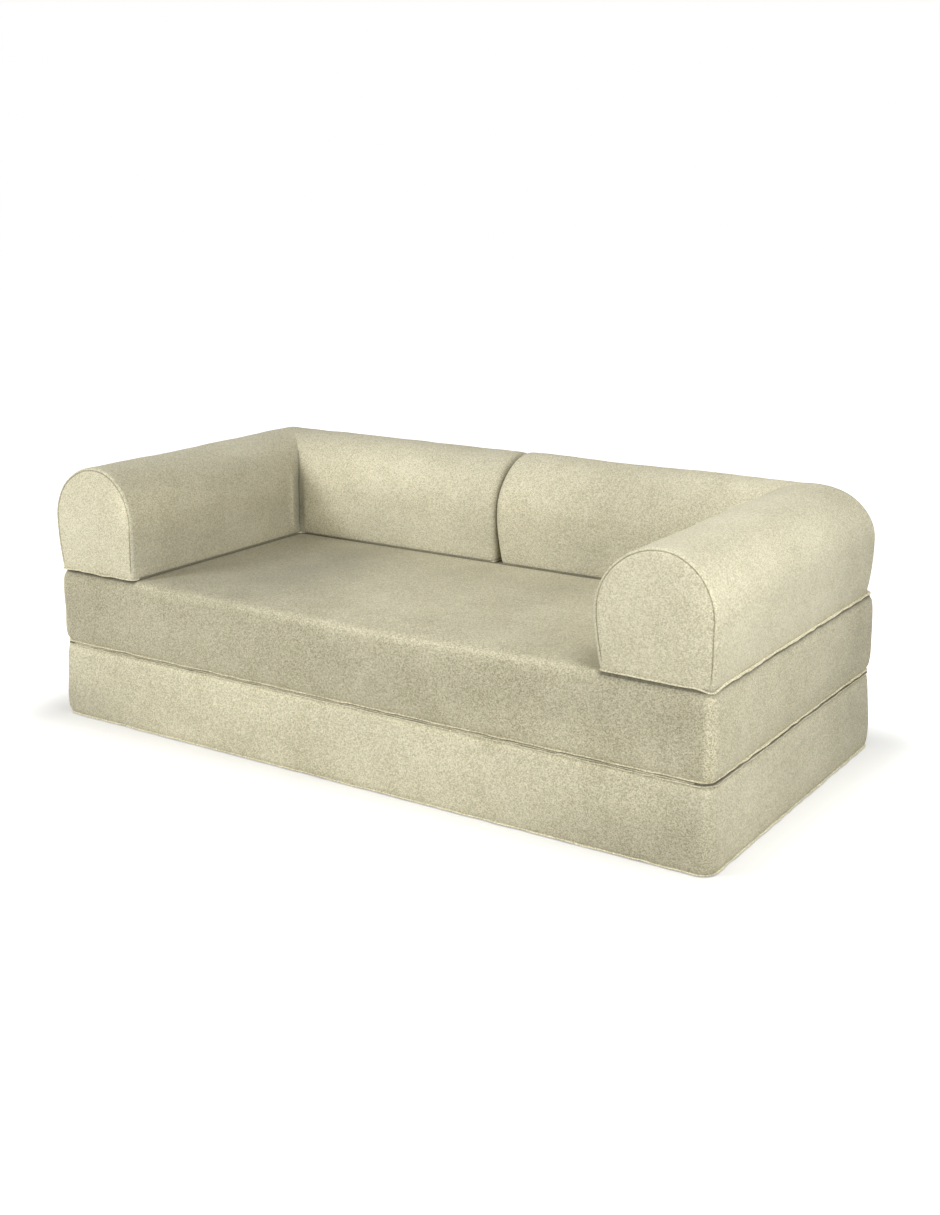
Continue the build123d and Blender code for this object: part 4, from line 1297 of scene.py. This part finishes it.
# Matt white paint, even and with no shine. Seen directly it has a lift, so that it is white away from the
# object and keeps the object's shadow, and the lift grows to full white further off.
def makeFloor(v):
    corners = np.array([[-1, -1, 0], [1, -1, 0], [1, 1, 0], [-1, 1, 0]]) * v["floorSize"] + [0, 0, v["floorLevel"]]
    material, tree, place = newMaterial("paintedStudioFloor")
    # the distance from the footprint of the closed sofa
    mirrored = addNode(tree, "VectorMath", {0: place}, operation="ABSOLUTE")
    past = addNode(tree, "VectorMath", {0: (mirrored, 0), 1: v["footprint"]}, operation="SUBTRACT")
    outside = addNode(tree, "VectorMath", {0: (past, 0), 1: (0, 0, 0)}, operation="MAXIMUM")
    away = addNode(tree, "VectorMath", {0: (outside, 0)}, operation="LENGTH")
    lift = addNode(tree, "MapRange", {"Value": (away, "Value"), "From Min": v["nearEnd"], "From Max": v["farStart"],
                                      "To Min": v["nearLift"]}, interpolation_type="SMOOTHSTEP")
    shown = addNode(tree, "Math", {0: (lift, "Result"), 1: (seenDirectly(tree), 0)}, operation="MULTIPLY")
    paint = addNode(tree, "BsdfDiffuse", {"Color": toLinear(v["floorColour"])})
    glow = addNode(tree, "Emission", {"Color": (1, 1, 1, 1), "Strength": (shown, 0)})
    both = addNode(tree, "AddShader", {0: (paint, 0), 1: (glow, 0)})
    addNode(tree, "OutputMaterial", {"Surface": (both, 0)})
    meshObject("studioFloor", corners, [np.array([[0, 1, 2, 3]])], material, False)


# An even, soft light from all round that the camera sees as plain white
def makeWorld(v):
    world = bpy.data.worlds.new("studioWorld")
    scene.world = world
    world.use_nodes = True
    tree = world.node_tree
    tree.nodes.clear()
    soft = addNode(tree, "Background", {"Color": toLinear(v["worldColour"]), "Strength": v["worldStrength"]})
    white = addNode(tree, "Background", {"Color": (1, 1, 1, 1), "Strength": 1.0})
    both = addNode(tree, "MixShader", {0: (seenDirectly(tree), 0), 1: (soft, 0), 2: (white, 0)})
    addNode(tree, "OutputWorld", {"Surface": (both, 0)})


# A rectangular lamp turned to face its target
def addSoftbox(name, place, target, width, height, power, spread):
    data = bpy.data.lights.new(name, "AREA")
    data.shape = "RECTANGLE"
    data.size, data.size_y = width, height
    data.energy = power
    data.spread = math.radians(spread)
    light = bpy.data.objects.new(name, data)
    light.location = place
    light.rotation_euler = (Vector(target) - Vector(place)).to_track_quat("-Z", "Y").to_euler()
    scene.collection.objects.link(light)


makeFloor(stageValues)
makeWorld(stageValues)
for name, softbox in stageValues["softboxes"].items():
    addSoftbox(name, *softbox)
scene.view_settings.view_transform = "Standard"
print("stage lit")
